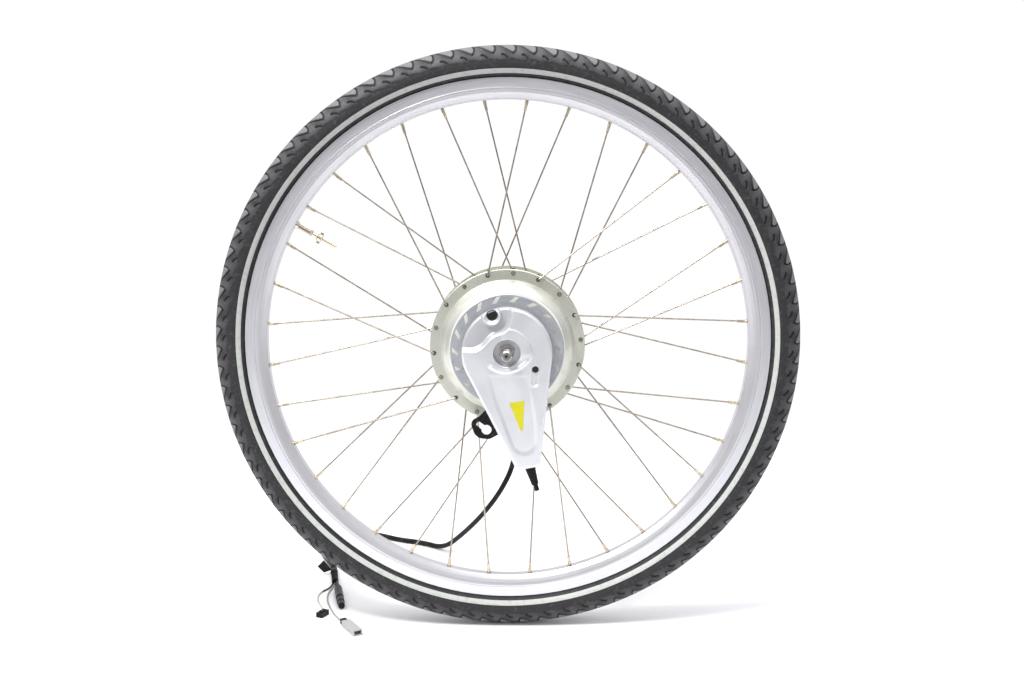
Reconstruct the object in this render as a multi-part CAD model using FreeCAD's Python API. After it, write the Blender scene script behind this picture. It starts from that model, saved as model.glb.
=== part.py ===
"""Rear hub-motor bicycle wheel with a roller brake, built as an assembly.

Frame: the origin is the centre of the wheel, +Y runs along the axle from the brake side
to the drive side, +Z is up and the wheel stands upright on a floor at z = -TYRE_R.
Angles about the axle are measured from +Z towards +X. All lengths are in millimetres.
"""
import FreeCAD, Part
import math
import os

os.makedirs("parts", exist_ok=True)
V = FreeCAD.Vector

# ---- driving dimensions: wheel -------------------------------------------------------
BEAD_SEAT_R = 311.0        # half of the 622 mm bead seat of a 28 inch wheel
TYRE_R = 355.0             # outside of the tread
TYRE_HALF = 21.5           # half of the tyre's width
RIM_EDGE_R = 317.5
RIM_HALF = 12.0            # half of the rim's width
RIM_BED_R = 292.0          # the face that the nipples stand on
SPOKES = 36
SPOKE_R = 1.0
NIPPLE_PHASE = -5.4        # angle of the first nipple
LACING = 20.0              # angle from a spoke's flange hole to its nipple
VALVE_ANGLE = 299.6        # halfway between two nipples

# ---- driving dimensions: hub ---------------------------------------------------------
OVER_LOCKNUT = 135.0       # the width between the frame's dropouts
FLANGE_R = 93.0
HOLE_CIRCLE_R = 88.3       # spoke holes in the flanges
FLANGE_T = 3.0
LEFT_FLANGE_Y = -20.5      # middle of the brake-side flange
RIGHT_FLANGE_Y = 18.0      # middle of the drive-side flange
DRUM_R = 83.0
SHELL_END_Y = -42.0        # brake-side face of the shell
AXLE_R = 6.0
SEAT_R = 7.5               # axle radius in the bearings
SHOULDER_R = 10.0
AXLE_LEFT_Y = -94.0
AXLE_RIGHT_Y = 95.0
BEARING_R = 16.0
BEARING_T = 9.0
MAGNETS = 40
TEETH = 36
STATOR_R = 72.0
AIR_GAP = 0.8
MAGNET_BACK_R = 75.55
YOKE_R = 58.0
TIP_R = 69.4               # inner radius of the teeth's wide tips
STACK_HALF = 14.0          # half of the lamination stack's length

# ---- driving dimensions: brake -------------------------------------------------------
DISC_R = 67.4
BRAKE_DRUM_R = 50.0
COVER_R = 53.0
COVER_FRONT_Y = -75.0
COVER_BACK_Y = -57.0
COVER_WALL = 2.5
ARM_REACH = 140.5          # axle to the tip of the cover's arm
ARM_ANGLE = -10.4          # turn of the arm from straight down
ARM_HALF_ANGLE = 16.4      # slope of the arm's sides to its middle line
CAM_TRAVEL = 16.0          # degrees
SHOE_TRAVEL = 0.4
RECESS_FLOOR_Y = -67.0
SCOOP_FLOOR_Y = -73.0
AXLE_RECESS_R = 15.5
WINDOW = (-17.6, 43.3)     # opening in the boss of the recess
WINDOW_R = 5.4
WINDOW_BOSS_R = 10.5
PORT = (33.2, -18.6)       # grease port
PORT_R = 3.6
KEYHOLE_R = 6.0

# corners of outlines in the cover's face: (x, z, radius of the corner)
RECESS = [(-60.0, 4.5, 0.0), (-33.5, 3.0, 9.0), (-17.5, 21.5, 14.0), (0.5, 27.5, 9.0), (4.9, 42.0, 10.0),
          (4.9, 60.0, 0.0), (-60.0, 60.0, 0.0)]
SCOOP = [(-19.6, -27.7, 0.0), (-12.8, -54.0, 60.0), (10.6, -117.8, 13.0), (32.6, -118.4, 12.0),
         (31.6, -80.0, 100.0), (23.6, -27.7, 0.0)]

# ---- driving dimensions: motor cable ---------------------------------------------------
CABLE_D = 7.0
WIRE_D = 2.0
CABLE_BORE_R = 3.7
FLOOR = -TYRE_R

ORIGIN = V(0, 0, 0)
AXLE_DIR = V(0, 1, 0)


# ---- general shapes ------------------------------------------------------------------
def turned(profile):
    """Solid turned about the axle from (radius, y) points."""
    points = [V(r, y, 0) for r, y in profile]
    face = Part.Face(Part.makePolygon(points + points[:1]))
    return face.revolve(ORIGIN, AXLE_DIR, 360)


def tube(r_in, r_out, y0, y1):
    """Plain ring about the axle."""
    return turned([(r_in, y0), (r_out, y0), (r_out, y1), (r_in, y1)])


def rod(r, y0, y1, x=0.0, z=0.0):
    """Cylinder parallel to the axle."""
    return Part.makeCylinder(r, y1 - y0, V(x, y0, z), AXLE_DIR)


def prism(outline, y0, y1):
    """Plate with an outline of (x, z) points."""
    points = [V(x, y0, z) for x, z in outline]
    face = Part.Face(Part.makePolygon(points + points[:1]))
    return face.extrude(V(0, y1 - y0, 0))


def rounded_prism(corners, y0, y1):
    """Plate with an outline of (x, z, corner radius), its sides joined by tangent arcs."""
    ends = []
    for k, (x, z, r) in enumerate(corners):
        corner = V(x, y0, z)
        before = V(corners[k - 1][0], y0, corners[k - 1][1])
        after = V(corners[(k + 1) % len(corners)][0], y0, corners[(k + 1) % len(corners)][1])
        u = (corner - before).normalize()
        w = (after - corner).normalize()
        half = u.getAngle(w) / 2.0
        reach = r * math.tan(half)
        middle = corner + (w - u).normalize() * (r / math.cos(half) - r)
        ends.append((corner - u * reach, middle, corner + w * reach, r))
    edges = []
    for k, (first, middle, last, r) in enumerate(ends):
        if r > 0.0:
            edges.append(Part.Arc(first, middle, last).toShape())
        edges.append(Part.LineSegment(last, ends[(k + 1) % len(ends)][0]).toShape())
    return Part.Face(Part.Wire(edges)).extrude(V(0, y1 - y0, 0))


def polar(r, degrees):
    """(x, z) of a point at a radius and an angle about the axle."""
    a = math.radians(degrees)
    return (r * math.sin(a), r * math.cos(a))


def around(shape, degrees):
    """Copy of a shape turned about the axle."""
    copy = shape.copy()
    copy.rotate(ORIGIN, AXLE_DIR, degrees)
    return copy


def ring_of(shape, count, first=0.0):
    """Evenly spaced copies of a shape about the axle."""
    return [around(shape, first + 360.0 * k / count) for k in range(count)]


def sector(r_in, r_out, half_angle, y0, y1):
    """Piece of a plain ring, centred on the top."""
    far = 2.0 * r_out
    wedge = prism([(0.0, 0.0), polar(far, -half_angle), polar(far, half_angle)], y0 - 1.0, y1 + 1.0)
    return tube(r_in, r_out, y0, y1).common(wedge)


def hexagon(across_flats, y0, y1, first=0.0):
    """Hexagonal prism on the axle."""
    corner = across_flats / math.sqrt(3.0)
    return prism([polar(corner, first + 60.0 * k) for k in range(6)], y0, y1)


def rounded_path(points, radius=None, label=None):
    """Wire of straight runs joined by tangent arcs, and its length.

    With no radius given each arc is as large as its two runs allow.
    """
    corners = [V(*p) for p in points]
    edges = []
    radii = []
    length = 0.0
    start = corners[0]
    for before, corner, after in zip(corners, corners[1:], corners[2:]):
        run_in = corner - before
        run_out = after - corner
        half = run_in.getAngle(run_out) / 2.0
        shorter = min(run_in.Length, run_out.Length)
        bend = radius or 0.45 * shorter / math.tan(half)
        u = V(run_in).normalize()
        w = V(run_out).normalize()
        reach = bend * math.tan(half)
        inward = (w - u).normalize()
        first = corner - u * reach
        last = corner + w * reach
        middle = corner + inward * (bend / math.cos(half) - bend)
        edges.append(Part.LineSegment(start, first).toShape())
        edges.append(Part.Arc(first, middle, last).toShape())
        length += (first - start).Length + 2.0 * half * bend
        radii.append(bend)
        start = last
    edges.append(Part.LineSegment(start, corners[-1]).toShape())
    length += (corners[-1] - start).Length
    if label:
        print(label, "bend radii", [round(r, 1) for r in radii], "length", round(length, 1))
    return Part.Wire(edges), length


def swept(points, r, radius=None, label=None):
    """Round bar or cord along a rounded path."""
    path, length = rounded_path(points, radius, label)
    start = V(*points[0])
    section = Part.Wire(Part.Circle(start, V(*points[1]) - start, r).toShape())
    solid = path.makePipeShell([section], True, False)
    if label:
        wanted = math.pi * r * r * length
        print(label, "volume", round(solid.Volume), "of", round(wanted))
    return solid


def save(name, solids):
    """Write a node; a list becomes a group of separate solids."""
    if isinstance(solids, list):
        solids = Part.makeCompound(solids)
    if not solids.isValid():
        print("NOT VALID", name)
    solids.exportStep("parts/%s.step" % name)
    print("%-24s %2d solids %10.0f mm3" % (name, len(solids.Solids), solids.Volume))


# ---- tyre and rim --------------------------------------------------------------------
def revolved_outline(edges):
    """Solid turned about the axle from edges in the (radius, y) plane."""
    return Part.Face(Part.Wire(edges)).revolve(ORIGIN, AXLE_DIR, 360)


def line(a, b):
    return Part.LineSegment(V(*a, 0), V(*b, 0)).toShape()


def arc(a, b, c):
    return Part.Arc(V(*a, 0), V(*b, 0), V(*c, 0)).toShape()


def mirrored(point):
    return (point[0], -point[1])


def make_tyre():
    """Casing with a round section, open towards the rim, a bead at each edge."""
    bead_toe = (BEAD_SEAT_R + 0.2, 6.6)
    bead_heel = (BEAD_SEAT_R + 0.2, RIM_HALF - 1.8)
    rim_lip = (RIM_EDGE_R + 0.5, RIM_HALF - 1.7)
    waist = (333.0, TYRE_HALF)
    shoulder = (348.8, 14.8)
    crown = (TYRE_R, 0.0)
    inner_crown = (350.4, 0.0)
    inner_shoulder = (345.6, 12.4)
    inner_waist = (332.6, 18.4)
    inner_lip = (317.2, 7.8)
    edges = [
        line(bead_toe, bead_heel),
        line(bead_heel, rim_lip),
        arc(rim_lip, waist, shoulder),
        arc(shoulder, crown, mirrored(shoulder)),
        arc(mirrored(shoulder), mirrored(waist), mirrored(rim_lip)),
        line(mirrored(rim_lip), mirrored(bead_heel)),
        line(mirrored(bead_heel), mirrored(bead_toe)),
        line(mirrored(bead_toe), mirrored(inner_lip)),
        arc(mirrored(inner_lip), mirrored(inner_waist), mirrored(inner_shoulder)),
        arc(mirrored(inner_shoulder), inner_crown, inner_shoulder),
        arc(inner_shoulder, inner_waist, inner_lip),
        line(inner_lip, bead_toe),
    ]
    return revolved_outline(edges)


def valve_tool(r, low, high):
    """Radial cylinder at the valve, from one radius to another."""
    peg = Part.makeCylinder(r, high - low, V(0, 0, low), V(0, 0, 1))
    return around(peg, VALVE_ANGLE)


def make_inner_tube():
    middle = 333.0
    outside = Part.makeTorus(middle, 16.6, ORIGIN, AXLE_DIR)
    inside = Part.makeTorus(middle, 15.4, ORIGIN, AXLE_DIR)
    return outside.cut(inside).cut(valve_tool(3.1, 312.0, 322.0))


def make_rim_tape():
    return tube(307.7, 308.3, -6.0, 6.0).cut(valve_tool(3.4, 305.0, 312.0))


def make_rim():
    """Double-walled extrusion: flanges, bead seats, a well and a closed chamber."""
    half = RIM_HALF
    inside = half - 1.6
    shoulder = 304.0
    bed_half = 5.5
    right = [
        (307.5, 6.2),
        (BEAD_SEAT_R, 8.0),
        (BEAD_SEAT_R, inside),
        (RIM_EDGE_R, inside),
        (RIM_EDGE_R, half),
        (306.6, half),
        (306.1, half - 0.4),
        (305.6, half),
        (shoulder, half),
        (300.5, half - 0.9),
        (297.0, half - 2.6),
        (294.2, half - 4.6),
        (RIM_BED_R, bed_half),
    ]
    left = [mirrored(p) for p in reversed(right)]
    outside = turned(right + left)
    chamber_right = [(305.9, 5.6), (309.2, 7.6), (309.2, half - 1.7), (304.4, half - 1.7), (294.0, 4.8)]
    chamber = turned(chamber_right + [mirrored(p) for p in reversed(chamber_right)])
    rim = outside.cut(chamber)
    nipple_hole = Part.makeCylinder(2.8, 6.0, V(0, 0, RIM_BED_R - 3.0), V(0, 0, 1))
    access_hole = Part.makeCylinder(4.2, 4.0, V(0, 0, 304.5), V(0, 0, 1))
    tools = ring_of(nipple_hole, SPOKES, NIPPLE_PHASE)
    tools += ring_of(access_hole, SPOKES, NIPPLE_PHASE)
    tools.append(valve_tool(3.4, RIM_BED_R - 3.0, 311.0))
    return rim.cut(tools)


# ---- valve ---------------------------------------------------------------------------
def valve_turned(profile):
    """Solid turned about the valve's own line from (radius, wheel radius) points."""
    points = [V(r, 0, reach) for r, reach in profile]
    face = Part.Face(Part.makePolygon(points + points[:1]))
    return around(face.revolve(ORIGIN, V(0, 0, 1), 360), VALVE_ANGLE)


def make_valve():
    """Stem, rim nut, core and retaining nut of a bicycle tube valve."""
    collar = 271.0
    stem = valve_turned([
        (1.9, 285.0), (1.9, collar - 1.2), (3.6, collar - 1.2), (4.2, collar - 0.6), (4.2, collar + 1.4),
        (3.0, collar + 1.8), (3.0, 319.4), (7.0, 319.6), (7.0, 320.4), (1.2, 320.4), (1.2, 285.0),
    ])
    rim_nut = valve_turned([(3.05, 288.0), (4.2, 288.3), (5.0, 291.2), (5.0, 291.8), (3.05, 291.8)])
    core = valve_turned([
        (0.0, 237.0), (1.4, 237.0), (1.7, 237.6), (1.7, 244.0), (2.2, 244.6), (2.2, collar - 1.3),
        (1.8, collar - 1.2), (1.8, 284.0), (0.0, 284.0),
    ])
    nut = valve_turned([(2.25, 256.5), (4.4, 256.5), (5.0, 257.2), (5.0, 261.4), (3.6, 263.0), (2.25, 263.0)])
    wings = []
    for side in (0, 180):
        wing = Part.makeBox(2.6, 1.6, 4.0, V(4.4, -0.8, 257.2))
        wing.rotate(ORIGIN, V(0, 0, 1), side)
        wings.append(around(wing, VALVE_ANGLE))
    save("valve_stem", stem)
    save("valve_rim_nut", rim_nut)
    save("valve_core", core)
    save("valve_retaining_nut", nut.fuse(wings))


# ---- spokes and nipples --------------------------------------------------------------
def spoke_points(hole_y, out_of_flange, turn):
    """Head, bend and rim end of a spoke whose flange hole is straight up."""
    head_y = hole_y - out_of_flange * (FLANGE_T / 2.0 + 0.1)
    bend_y = hole_y + out_of_flange * (FLANGE_T / 2.0 + 2.0)
    x, z = polar(RIM_BED_R, turn)
    bend = V(0, bend_y, HOLE_CIRCLE_R)
    bed = V(x, 0, z)
    along = (bed - bend).normalize()
    return V(0, head_y, HOLE_CIRCLE_R), bend, bed, along


def make_spoke(hole_y, out_of_flange, turn):
    head, bend, bed, along = spoke_points(hole_y, out_of_flange, turn)
    end = bed + along * 4.0
    bar = swept([tuple(head), tuple(bend), tuple(end)], SPOKE_R, radius=2.0)
    cap_y = min(head.y, head.y - out_of_flange * 1.1)
    cap = rod(1.9, cap_y, cap_y + 1.1, 0.0, HOLE_CIRCLE_R)
    return bar.fuse(cap)


def make_nipple(hole_y, out_of_flange, turn):
    """Hollow nipple in line with its spoke, square at the key end, round head in the rim."""
    head, bend, bed, along = spoke_points(hole_y, out_of_flange, turn)
    flats = Part.makeBox(3.4, 3.4, 7.0, V(-1.7, -1.7, 0))
    flats.Placement = FreeCAD.Placement(bed - along * 12.4, FreeCAD.Rotation(V(0, 0, 1), along))
    key_end = Part.makeCylinder(2.15, 7.0, bed - along * 12.4, along).common(flats)
    collar = Part.makeCylinder(2.15, 8.2, bed - along * 5.4, along)
    cap = Part.makeCone(2.15, 3.0, 0.8, bed + along * 2.8, along)
    crown = Part.makeCylinder(3.0, 1.6, bed + along * 3.6, along)
    bore = Part.makeCylinder(SPOKE_R + 0.05, 30.0, bed - along * 15.0, along)
    return key_end.fuse([collar, cap, crown]).cut(bore)


def make_spokes():
    """On each flange nine spokes leave outwards and nine inwards, leaning opposite ways."""
    nipples = []
    for name, flange_y, outward, first in (("left_spokes", LEFT_FLANGE_Y, -1, NIPPLE_PHASE - 10.0),
                                           ("right_spokes", RIGHT_FLANGE_Y, 1, NIPPLE_PHASE)):
        spokes = []
        for out_of_flange, turn, start in ((outward, LACING, first), (-outward, -LACING, first + 20.0)):
            spokes += ring_of(make_spoke(flange_y, out_of_flange, turn), SPOKES // 4, start)
            nipples += ring_of(make_nipple(flange_y, out_of_flange, turn), SPOKES // 4, start)
        save(name, spokes)
    save("nipples", nipples)


# ---- hub shell -----------------------------------------------------------------------
def star(r_low, r_high, teeth, y0, y1):
    """Serrated prism on the axle."""
    outline = []
    for k in range(teeth):
        pitch = 360.0 / teeth
        outline.append(polar(r_low, k * pitch))
        outline.append(polar(r_high, (k + 0.35) * pitch))
        outline.append(polar(r_high, (k + 0.65) * pitch))
    return prism(outline, y0, y1)


def spoke_holes(flange_y, first):
    hole = rod(SPOKE_R + 0.3, flange_y - 5.0, flange_y + 5.0, 0.0, HOLE_CIRCLE_R)
    return ring_of(hole, SPOKES // 2, first)


def make_hub_shell():
    """Cast drum with both spoke flanges, a domed brake-side wall and a serrated boss."""
    left_out = LEFT_FLANGE_Y - FLANGE_T / 2.0
    left_in = LEFT_FLANGE_Y + FLANGE_T / 2.0
    right_in = RIGHT_FLANGE_Y - FLANGE_T / 2.0
    right_out = RIGHT_FLANGE_Y + FLANGE_T / 2.0
    outside = [
        (21.0, SHELL_END_Y - 1.0),
        (21.0, SHELL_END_Y),
        (67.0, SHELL_END_Y),
        (69.0, SHELL_END_Y + 0.6),
        (70.2, SHELL_END_Y + 2.2),
        (74.0, -35.6),
        (77.2, -30.4),
        (79.4, -25.4),
        (80.6, left_out),
        (FLANGE_R - 0.6, left_out),
        (FLANGE_R, left_out + 0.6),
        (FLANGE_R, left_in),
        (DRUM_R, left_in),
        (DRUM_R, 8.0),
        (DRUM_R + 2.0, 10.0),
        (DRUM_R + 2.0, right_in),
        (FLANGE_R, right_in),
        (FLANGE_R, right_out - 0.6),
        (FLANGE_R - 0.6, right_out),
    ]
    inside = [
        (79.7, right_out),
        (79.7, -17.0),
        (77.0, -21.5),
        (74.4, -29.0),
        (71.0, -34.4),
        (66.5, -38.4),
        (21.0, -38.4),
        (21.0, -31.5),
        (BEARING_R, -31.5),
        (BEARING_R, -31.5 - BEARING_T),
        (13.0, -31.5 - BEARING_T),
        (13.0, SHELL_END_Y - 1.0),
    ]
    shell = turned(outside + inside)
    boss = star(20.4, 21.6, 24, -47.5, SHELL_END_Y + 0.5)
    boss = boss.cut(rod(13.0, -60.0, SHELL_END_Y + 1.0))
    shell = shell.fuse(boss)
    left_first = NIPPLE_PHASE - 10.0
    screw_hole = rod(1.25, 11.5, right_out + 1.0, 0.0, 82.3)
    tools = spoke_holes(LEFT_FLANGE_Y, left_first) + spoke_holes(RIGHT_FLANGE_Y, NIPPLE_PHASE)
    tools += ring_of(screw_hole, 8, 12.0)
    return shell.cut(tools)


def make_motor_cover():
    """Removable drive-side wall with the second bearing seat and the freewheel thread."""
    face = RIGHT_FLANGE_Y + FLANGE_T / 2.0 + 0.05
    cover = turned([
        (85.0, face), (85.0, 22.4), (84.4, 23.0), (76.0, 24.4), (52.0, 32.4), (30.0, 38.0), (24.0, 40.0),
        (22.0, 43.0), (17.4, 43.6), (17.4, 55.4), (16.8, 56.0), (13.0, 56.0), (13.0, 40.5), (BEARING_R, 40.5),
        (BEARING_R, 31.5), (21.0, 31.5), (21.0, 34.6), (29.0, 34.6), (50.0, 29.2), (74.0, 21.4), (76.6, 20.4),
        (76.6, 16.8), (79.4, 16.8), (79.4, face),
    ])
    clearance = rod(1.7, face - 1.0, 25.0, 0.0, 82.3)
    head_seat = rod(3.1, 22.0, 25.0, 0.0, 82.3)
    return cover.cut(ring_of(clearance, 8, 12.0) + ring_of(head_seat, 8, 12.0))


def make_cover_screws():
    """Socket-head screws, one for each hole of the motor cover."""
    shank = rod(1.2, 12.5, 22.1, 0.0, 82.3)
    head = rod(2.75, 22.05, 24.6, 0.0, 82.3)
    socket = prism([polar(1.45, 60.0 * k) for k in range(6)], 23.2, 25.0)
    socket.translate(V(0, 0, 82.3))
    return ring_of(shank.fuse(head).cut(socket), 8, 12.0)


# ---- motor ---------------------------------------------------------------------------
def make_magnets():
    """Curved plates with a small gap between neighbours."""
    half_angle = 180.0 / MAGNETS - 0.3
    plate = sector(STATOR_R + AIR_GAP, MAGNET_BACK_R, half_angle, -STACK_HALF - 1.0, STACK_HALF + 1.0)
    return ring_of(plate, MAGNETS)


def make_stator_core():
    """Lamination stack: a yoke with one wide-tipped tooth for each slot."""
    tooth_half = 2.5
    tip_gap = 0.9
    yoke = tube(52.0, YOKE_R, -STACK_HALF, STACK_HALF)
    root = YOKE_R - 1.0
    tooth = Part.makeBox(2.0 * tooth_half, 2.0 * STACK_HALF, TIP_R + 0.6 - root, V(-tooth_half, -STACK_HALF, root))
    tip = sector(TIP_R, STATOR_R, 180.0 / TEETH - tip_gap, -STACK_HALF, STACK_HALF)
    return yoke.fuse(ring_of(tooth.fuse(tip), TEETH)).removeSplitter()


def make_windings():
    """One rounded coil on each tooth."""
    low = 58.8
    high = 67.6
    depth = high - low
    body = Part.makeBox(9.2, 2.0 * STACK_HALF, depth, V(-4.6, -STACK_HALF, low))
    ends = [Part.makeCylinder(4.6, depth, V(0, y, low), V(0, 0, 1)) for y in (-STACK_HALF, STACK_HALF)]
    hole = Part.makeBox(5.4, 2.0 * STACK_HALF + 0.4, depth + 2.0, V(-2.7, -STACK_HALF - 0.2, low - 1.0))
    return ring_of(body.fuse(ends).cut(hole), TEETH)


def make_stator_carrier():
    """Cast spider that holds the laminations on the axle."""
    hub = tube(SHOULDER_R + 0.02, 15.0, -12.0, 12.0)
    band = tube(48.0, 51.95, -11.0, 11.0)
    arms = ring_of(Part.makeBox(7.0, 16.0, 34.5, V(-3.5, -8.0, 14.2)), 6, 30.0)
    posts = ring_of(rod(2.6, 7.0, 17.0, 0.0, 40.0), 3, 30.0)
    return hub.fuse([band] + arms + posts)


def make_phase_board():
    """Round circuit board on the carrier's posts, with its sensor chips and terminals."""
    board = tube(30.0, 50.5, 17.05, 18.65)
    chips = ring_of(Part.makeBox(4.2, 1.6, 3.2, V(-2.1, 18.6, 45.0)), 3, 84.0)
    terminals = [around(Part.makeBox(3.4, 3.0, 5.0, V(-1.7, 18.6, 34.0)), a) for a in (-20, -10, 0, 10, 20)]
    return board.fuse(chips + terminals)


# ---- bearings ------------------------------------------------------------------------
def make_bearing(side, y0):
    """Deep-groove ball bearing: writes nine balls in their cage, returns the two races."""
    middle = y0 + BEARING_T / 2.0
    ball_r = 2.4
    track_r = 11.75
    groove = Part.makeTorus(track_r, ball_r + 0.1, V(0, middle, 0), AXLE_DIR)
    outer = tube(13.6, BEARING_R - 0.01, y0, y0 + BEARING_T).cut(groove)
    inner = tube(SEAT_R + 0.01, 9.9, y0, y0 + BEARING_T).cut(groove)
    ball = Part.makeSphere(ball_r, V(0, middle, track_r))
    cage = tube(11.0, 12.5, middle - 3.2, middle + 1.2)
    pocket = Part.makeSphere(ball_r + 0.05, V(0, middle, track_r))
    cage = cage.cut(ring_of(pocket, 9))
    save("%s_bearing_balls" % side, [cage] + ring_of(ball, 9))
    return outer, inner


def make_seal(y0, y1):
    """Rubber lip ring in the hub's bore, just clear of the spacer on the axle."""
    return turned([(12.95, y0), (12.95, y1), (11.6, y1), (11.6, y0 + 0.8), (9.5, y0 + 0.5), (9.5, y0)])


# ---- axle and what is clamped on it ---------------------------------------------------
def make_axle():
    """Stepped axle, hollow on the drive side for the motor cable, with a cable window."""
    left = AXLE_LEFT_Y
    right = AXLE_RIGHT_Y
    shaft = turned([
        (0.0, left), (AXLE_R - 1.1, left), (AXLE_R, left + 1.1), (AXLE_R, -41.0), (SEAT_R, -40.6),
        (SEAT_R, -31.5), (SHOULDER_R, -31.5), (SHOULDER_R, 31.5), (SEAT_R, 31.5), (SEAT_R, 40.6),
        (AXLE_R, 41.0), (AXLE_R, right - 1.1), (AXLE_R - 1.1, right), (0.0, right),
    ])
    centre_drill = turned([(0.0, left - 0.5), (2.4, left - 0.5), (1.7, left + 1.2), (1.7, left + 5.0), (0.0, left + 6.0)])
    bore = rod(CABLE_BORE_R, 22.0, right + 1.0)
    window = Part.makeCylinder(CABLE_BORE_R, 15.0, V(0, 22.0 + CABLE_BORE_R, 0), V(0, 0, 1))
    flats = []
    for side in (-1, 1):
        low_x = 5.0 if side > 0 else -9.0
        flats.append(Part.makeBox(4.0, 15.0, 20.0, V(low_x, 69.0, -10.0)))
    return shaft.cut([centre_drill, bore, window] + flats)


def make_spacer(y0, y1):
    return tube(AXLE_R + 0.05, 9.0, y0, y1)


def make_locknut(y0, y1):
    nut = hexagon(17.0, y0, y1, 10.0)
    rounded = turned([(0.0, y0), (8.8, y0), (9.9, y0 + 0.8), (9.9, y1 - 0.8), (8.8, y1), (0.0, y1)])
    return nut.common(rounded).cut(rod(AXLE_R + 0.05, y0 - 1.0, y1 + 1.0))


def make_cable_grommet():
    """Tapered rubber sleeve that leads the cable out of the axle's end."""
    y0 = AXLE_RIGHT_Y
    return turned([
        (CABLE_D / 2.0 + 0.05, y0), (5.8, y0), (5.8, y0 + 3.0), (5.0, y0 + 4.0), (4.2, y0 + 15.0),
        (CABLE_D / 2.0 + 0.05, y0 + 15.0),
    ])


# ---- roller brake --------------------------------------------------------------------
def make_brake_drum():
    """Steel cup on the hub's serrated boss; the shoes press outwards on its inside."""
    cup = turned([
        (20.0, -46.0), (46.0, -46.0), (46.0, -62.0), (BRAKE_DRUM_R, -62.0), (BRAKE_DRUM_R, -43.8), (20.0, -43.8),
    ])
    return cup.cut(star(20.55, 21.75, 24, -47.0, -43.0))


def make_drum_clip():
    """Snap ring that keeps the drum on the boss."""
    ring = tube(21.8, 24.2, -47.3, -46.05)
    return ring.cut(Part.makeBox(5.0, 3.0, 8.0, V(-2.5, -48.0, 20.0)))


def make_cooling_disc():
    """Thin plate round the drum with slanted slots and a turned rim."""
    disc = turned([
        (BRAKE_DRUM_R + 0.02, -50.0), (BRAKE_DRUM_R + 0.02, -54.2), (BRAKE_DRUM_R + 1.6, -54.2),
        (BRAKE_DRUM_R + 1.6, -53.4), (DISC_R - 1.0, -53.4), (DISC_R, -52.6), (DISC_R, -50.6), (DISC_R - 1.5, -50.6),
        (DISC_R - 1.5, -51.8), (BRAKE_DRUM_R + 1.6, -51.8), (BRAKE_DRUM_R + 1.6, -50.0),
    ])
    slot_r = 61.2
    reach = 3.6
    slot = prism([(-6.0, slot_r - reach), (-0.5, slot_r - reach), (6.0, slot_r + reach), (0.5, slot_r + reach)],
                 -56.0, -50.0)
    return disc.cut(ring_of(slot, 18, 8.1))


def make_shoe():
    """One of the three shoes, with a groove for the return spring."""
    span = 104.0
    groove = tube(42.0, 47.0, -59.4, -56.8)
    body = tube(38.0, 45.3, -60.0, -48.0).cut(groove)
    side = 80.0
    edges = [polar(side, span / 2.0), polar(2.0 * side, 90.0), polar(2.0 * side, 180.0), polar(2.0 * side, 270.0),
             polar(side, -span / 2.0), (0.0, 0.0)]
    return body.cut(prism(edges, -61.0, -47.0))


def make_rollers():
    """Two rollers with guide pins, pressed outwards on one shoe by the cam."""
    rollers = []
    for degrees in (-30.0, 30.0):
        roller = rod(3.55, -58.4, -49.0, 0.0, 34.4).fuse(rod(1.2, -49.05, -47.0, 0.0, 34.4))
        rollers.append(around(roller, degrees))
    return rollers


def make_roller_guide():
    """Fixed plate whose six radial slots lead the rollers' pins."""
    plate = tube(29.0, 37.6, -48.58, -47.8)
    slot = Part.makeBox(3.2, 3.0, 4.6, V(-1.6, -49.6, 32.3))
    legs = [around(Part.makeBox(4.0, 0.78, 14.4, V(-2.0, -48.58, 15.0)), a) for a in (0.0, 120.0, 240.0)]
    hub = tube(9.05, 17.0, -48.58, -47.8)
    return plate.cut(ring_of(slot, 6, 30.0)).fuse(legs + [hub])


def make_brake_cam():
    """Cam with six ramps; its lever runs down the arm to the cable."""
    outline = []
    steps = 12
    for lobe in range(6):
        for step in range(steps):
            degrees = 60.0 * step / steps
            if degrees <= 40.0:
                rise = SHOE_TRAVEL * max(0.0, (degrees - 10.0) / CAM_TRAVEL)
            else:
                rise = 0.75 * (60.0 - degrees) / 20.0
            outline.append(polar(30.3 + rise, 38.0 - 60.0 * lobe - degrees))
    ring = prism(outline, -58.6, -49.0).cut(rod(14.05, -60.0, -48.0))
    lever_angle = 180.0 + ARM_ANGLE - CAM_TRAVEL / 2.0
    neck = tube(18.6, 24.0, -69.0, -58.6)
    wedge = [(0.0, 0.0), polar(60.0, 145.0), polar(60.0, 180.0), polar(60.0, 215.0)]
    neck = neck.common(prism(wedge, -70.0, -58.0))
    plate = prism([(-9.0, -18.6), (9.0, -18.6), (5.5, -72.0), (2.5, -76.0), (-2.5, -76.0), (-5.5, -72.0)], -69.0, -66.0)
    plate = plate.cut([rod(18.6, -70.0, -65.0), rod(2.4, -70.0, -65.0, 0.0, -69.0)])
    lever = around(neck.fuse(plate), lever_angle - 180.0)
    return ring.fuse(lever)


def make_cam_bush():
    """Fixed bearing sleeve of the cam, clamped between the spacer and the cover."""
    return tube(AXLE_R + 0.05, 14.0, -60.0, -48.6)


def make_shoe_spring():
    """Open ring of spring wire in the shoes' grooves."""
    ring = Part.makeTorus(43.5, 0.75, V(0, -58.1, 0), AXLE_DIR)
    return ring.cut(Part.makeBox(7.0, 4.0, 8.0, V(-3.5, -60.0, -47.0)))


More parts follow.
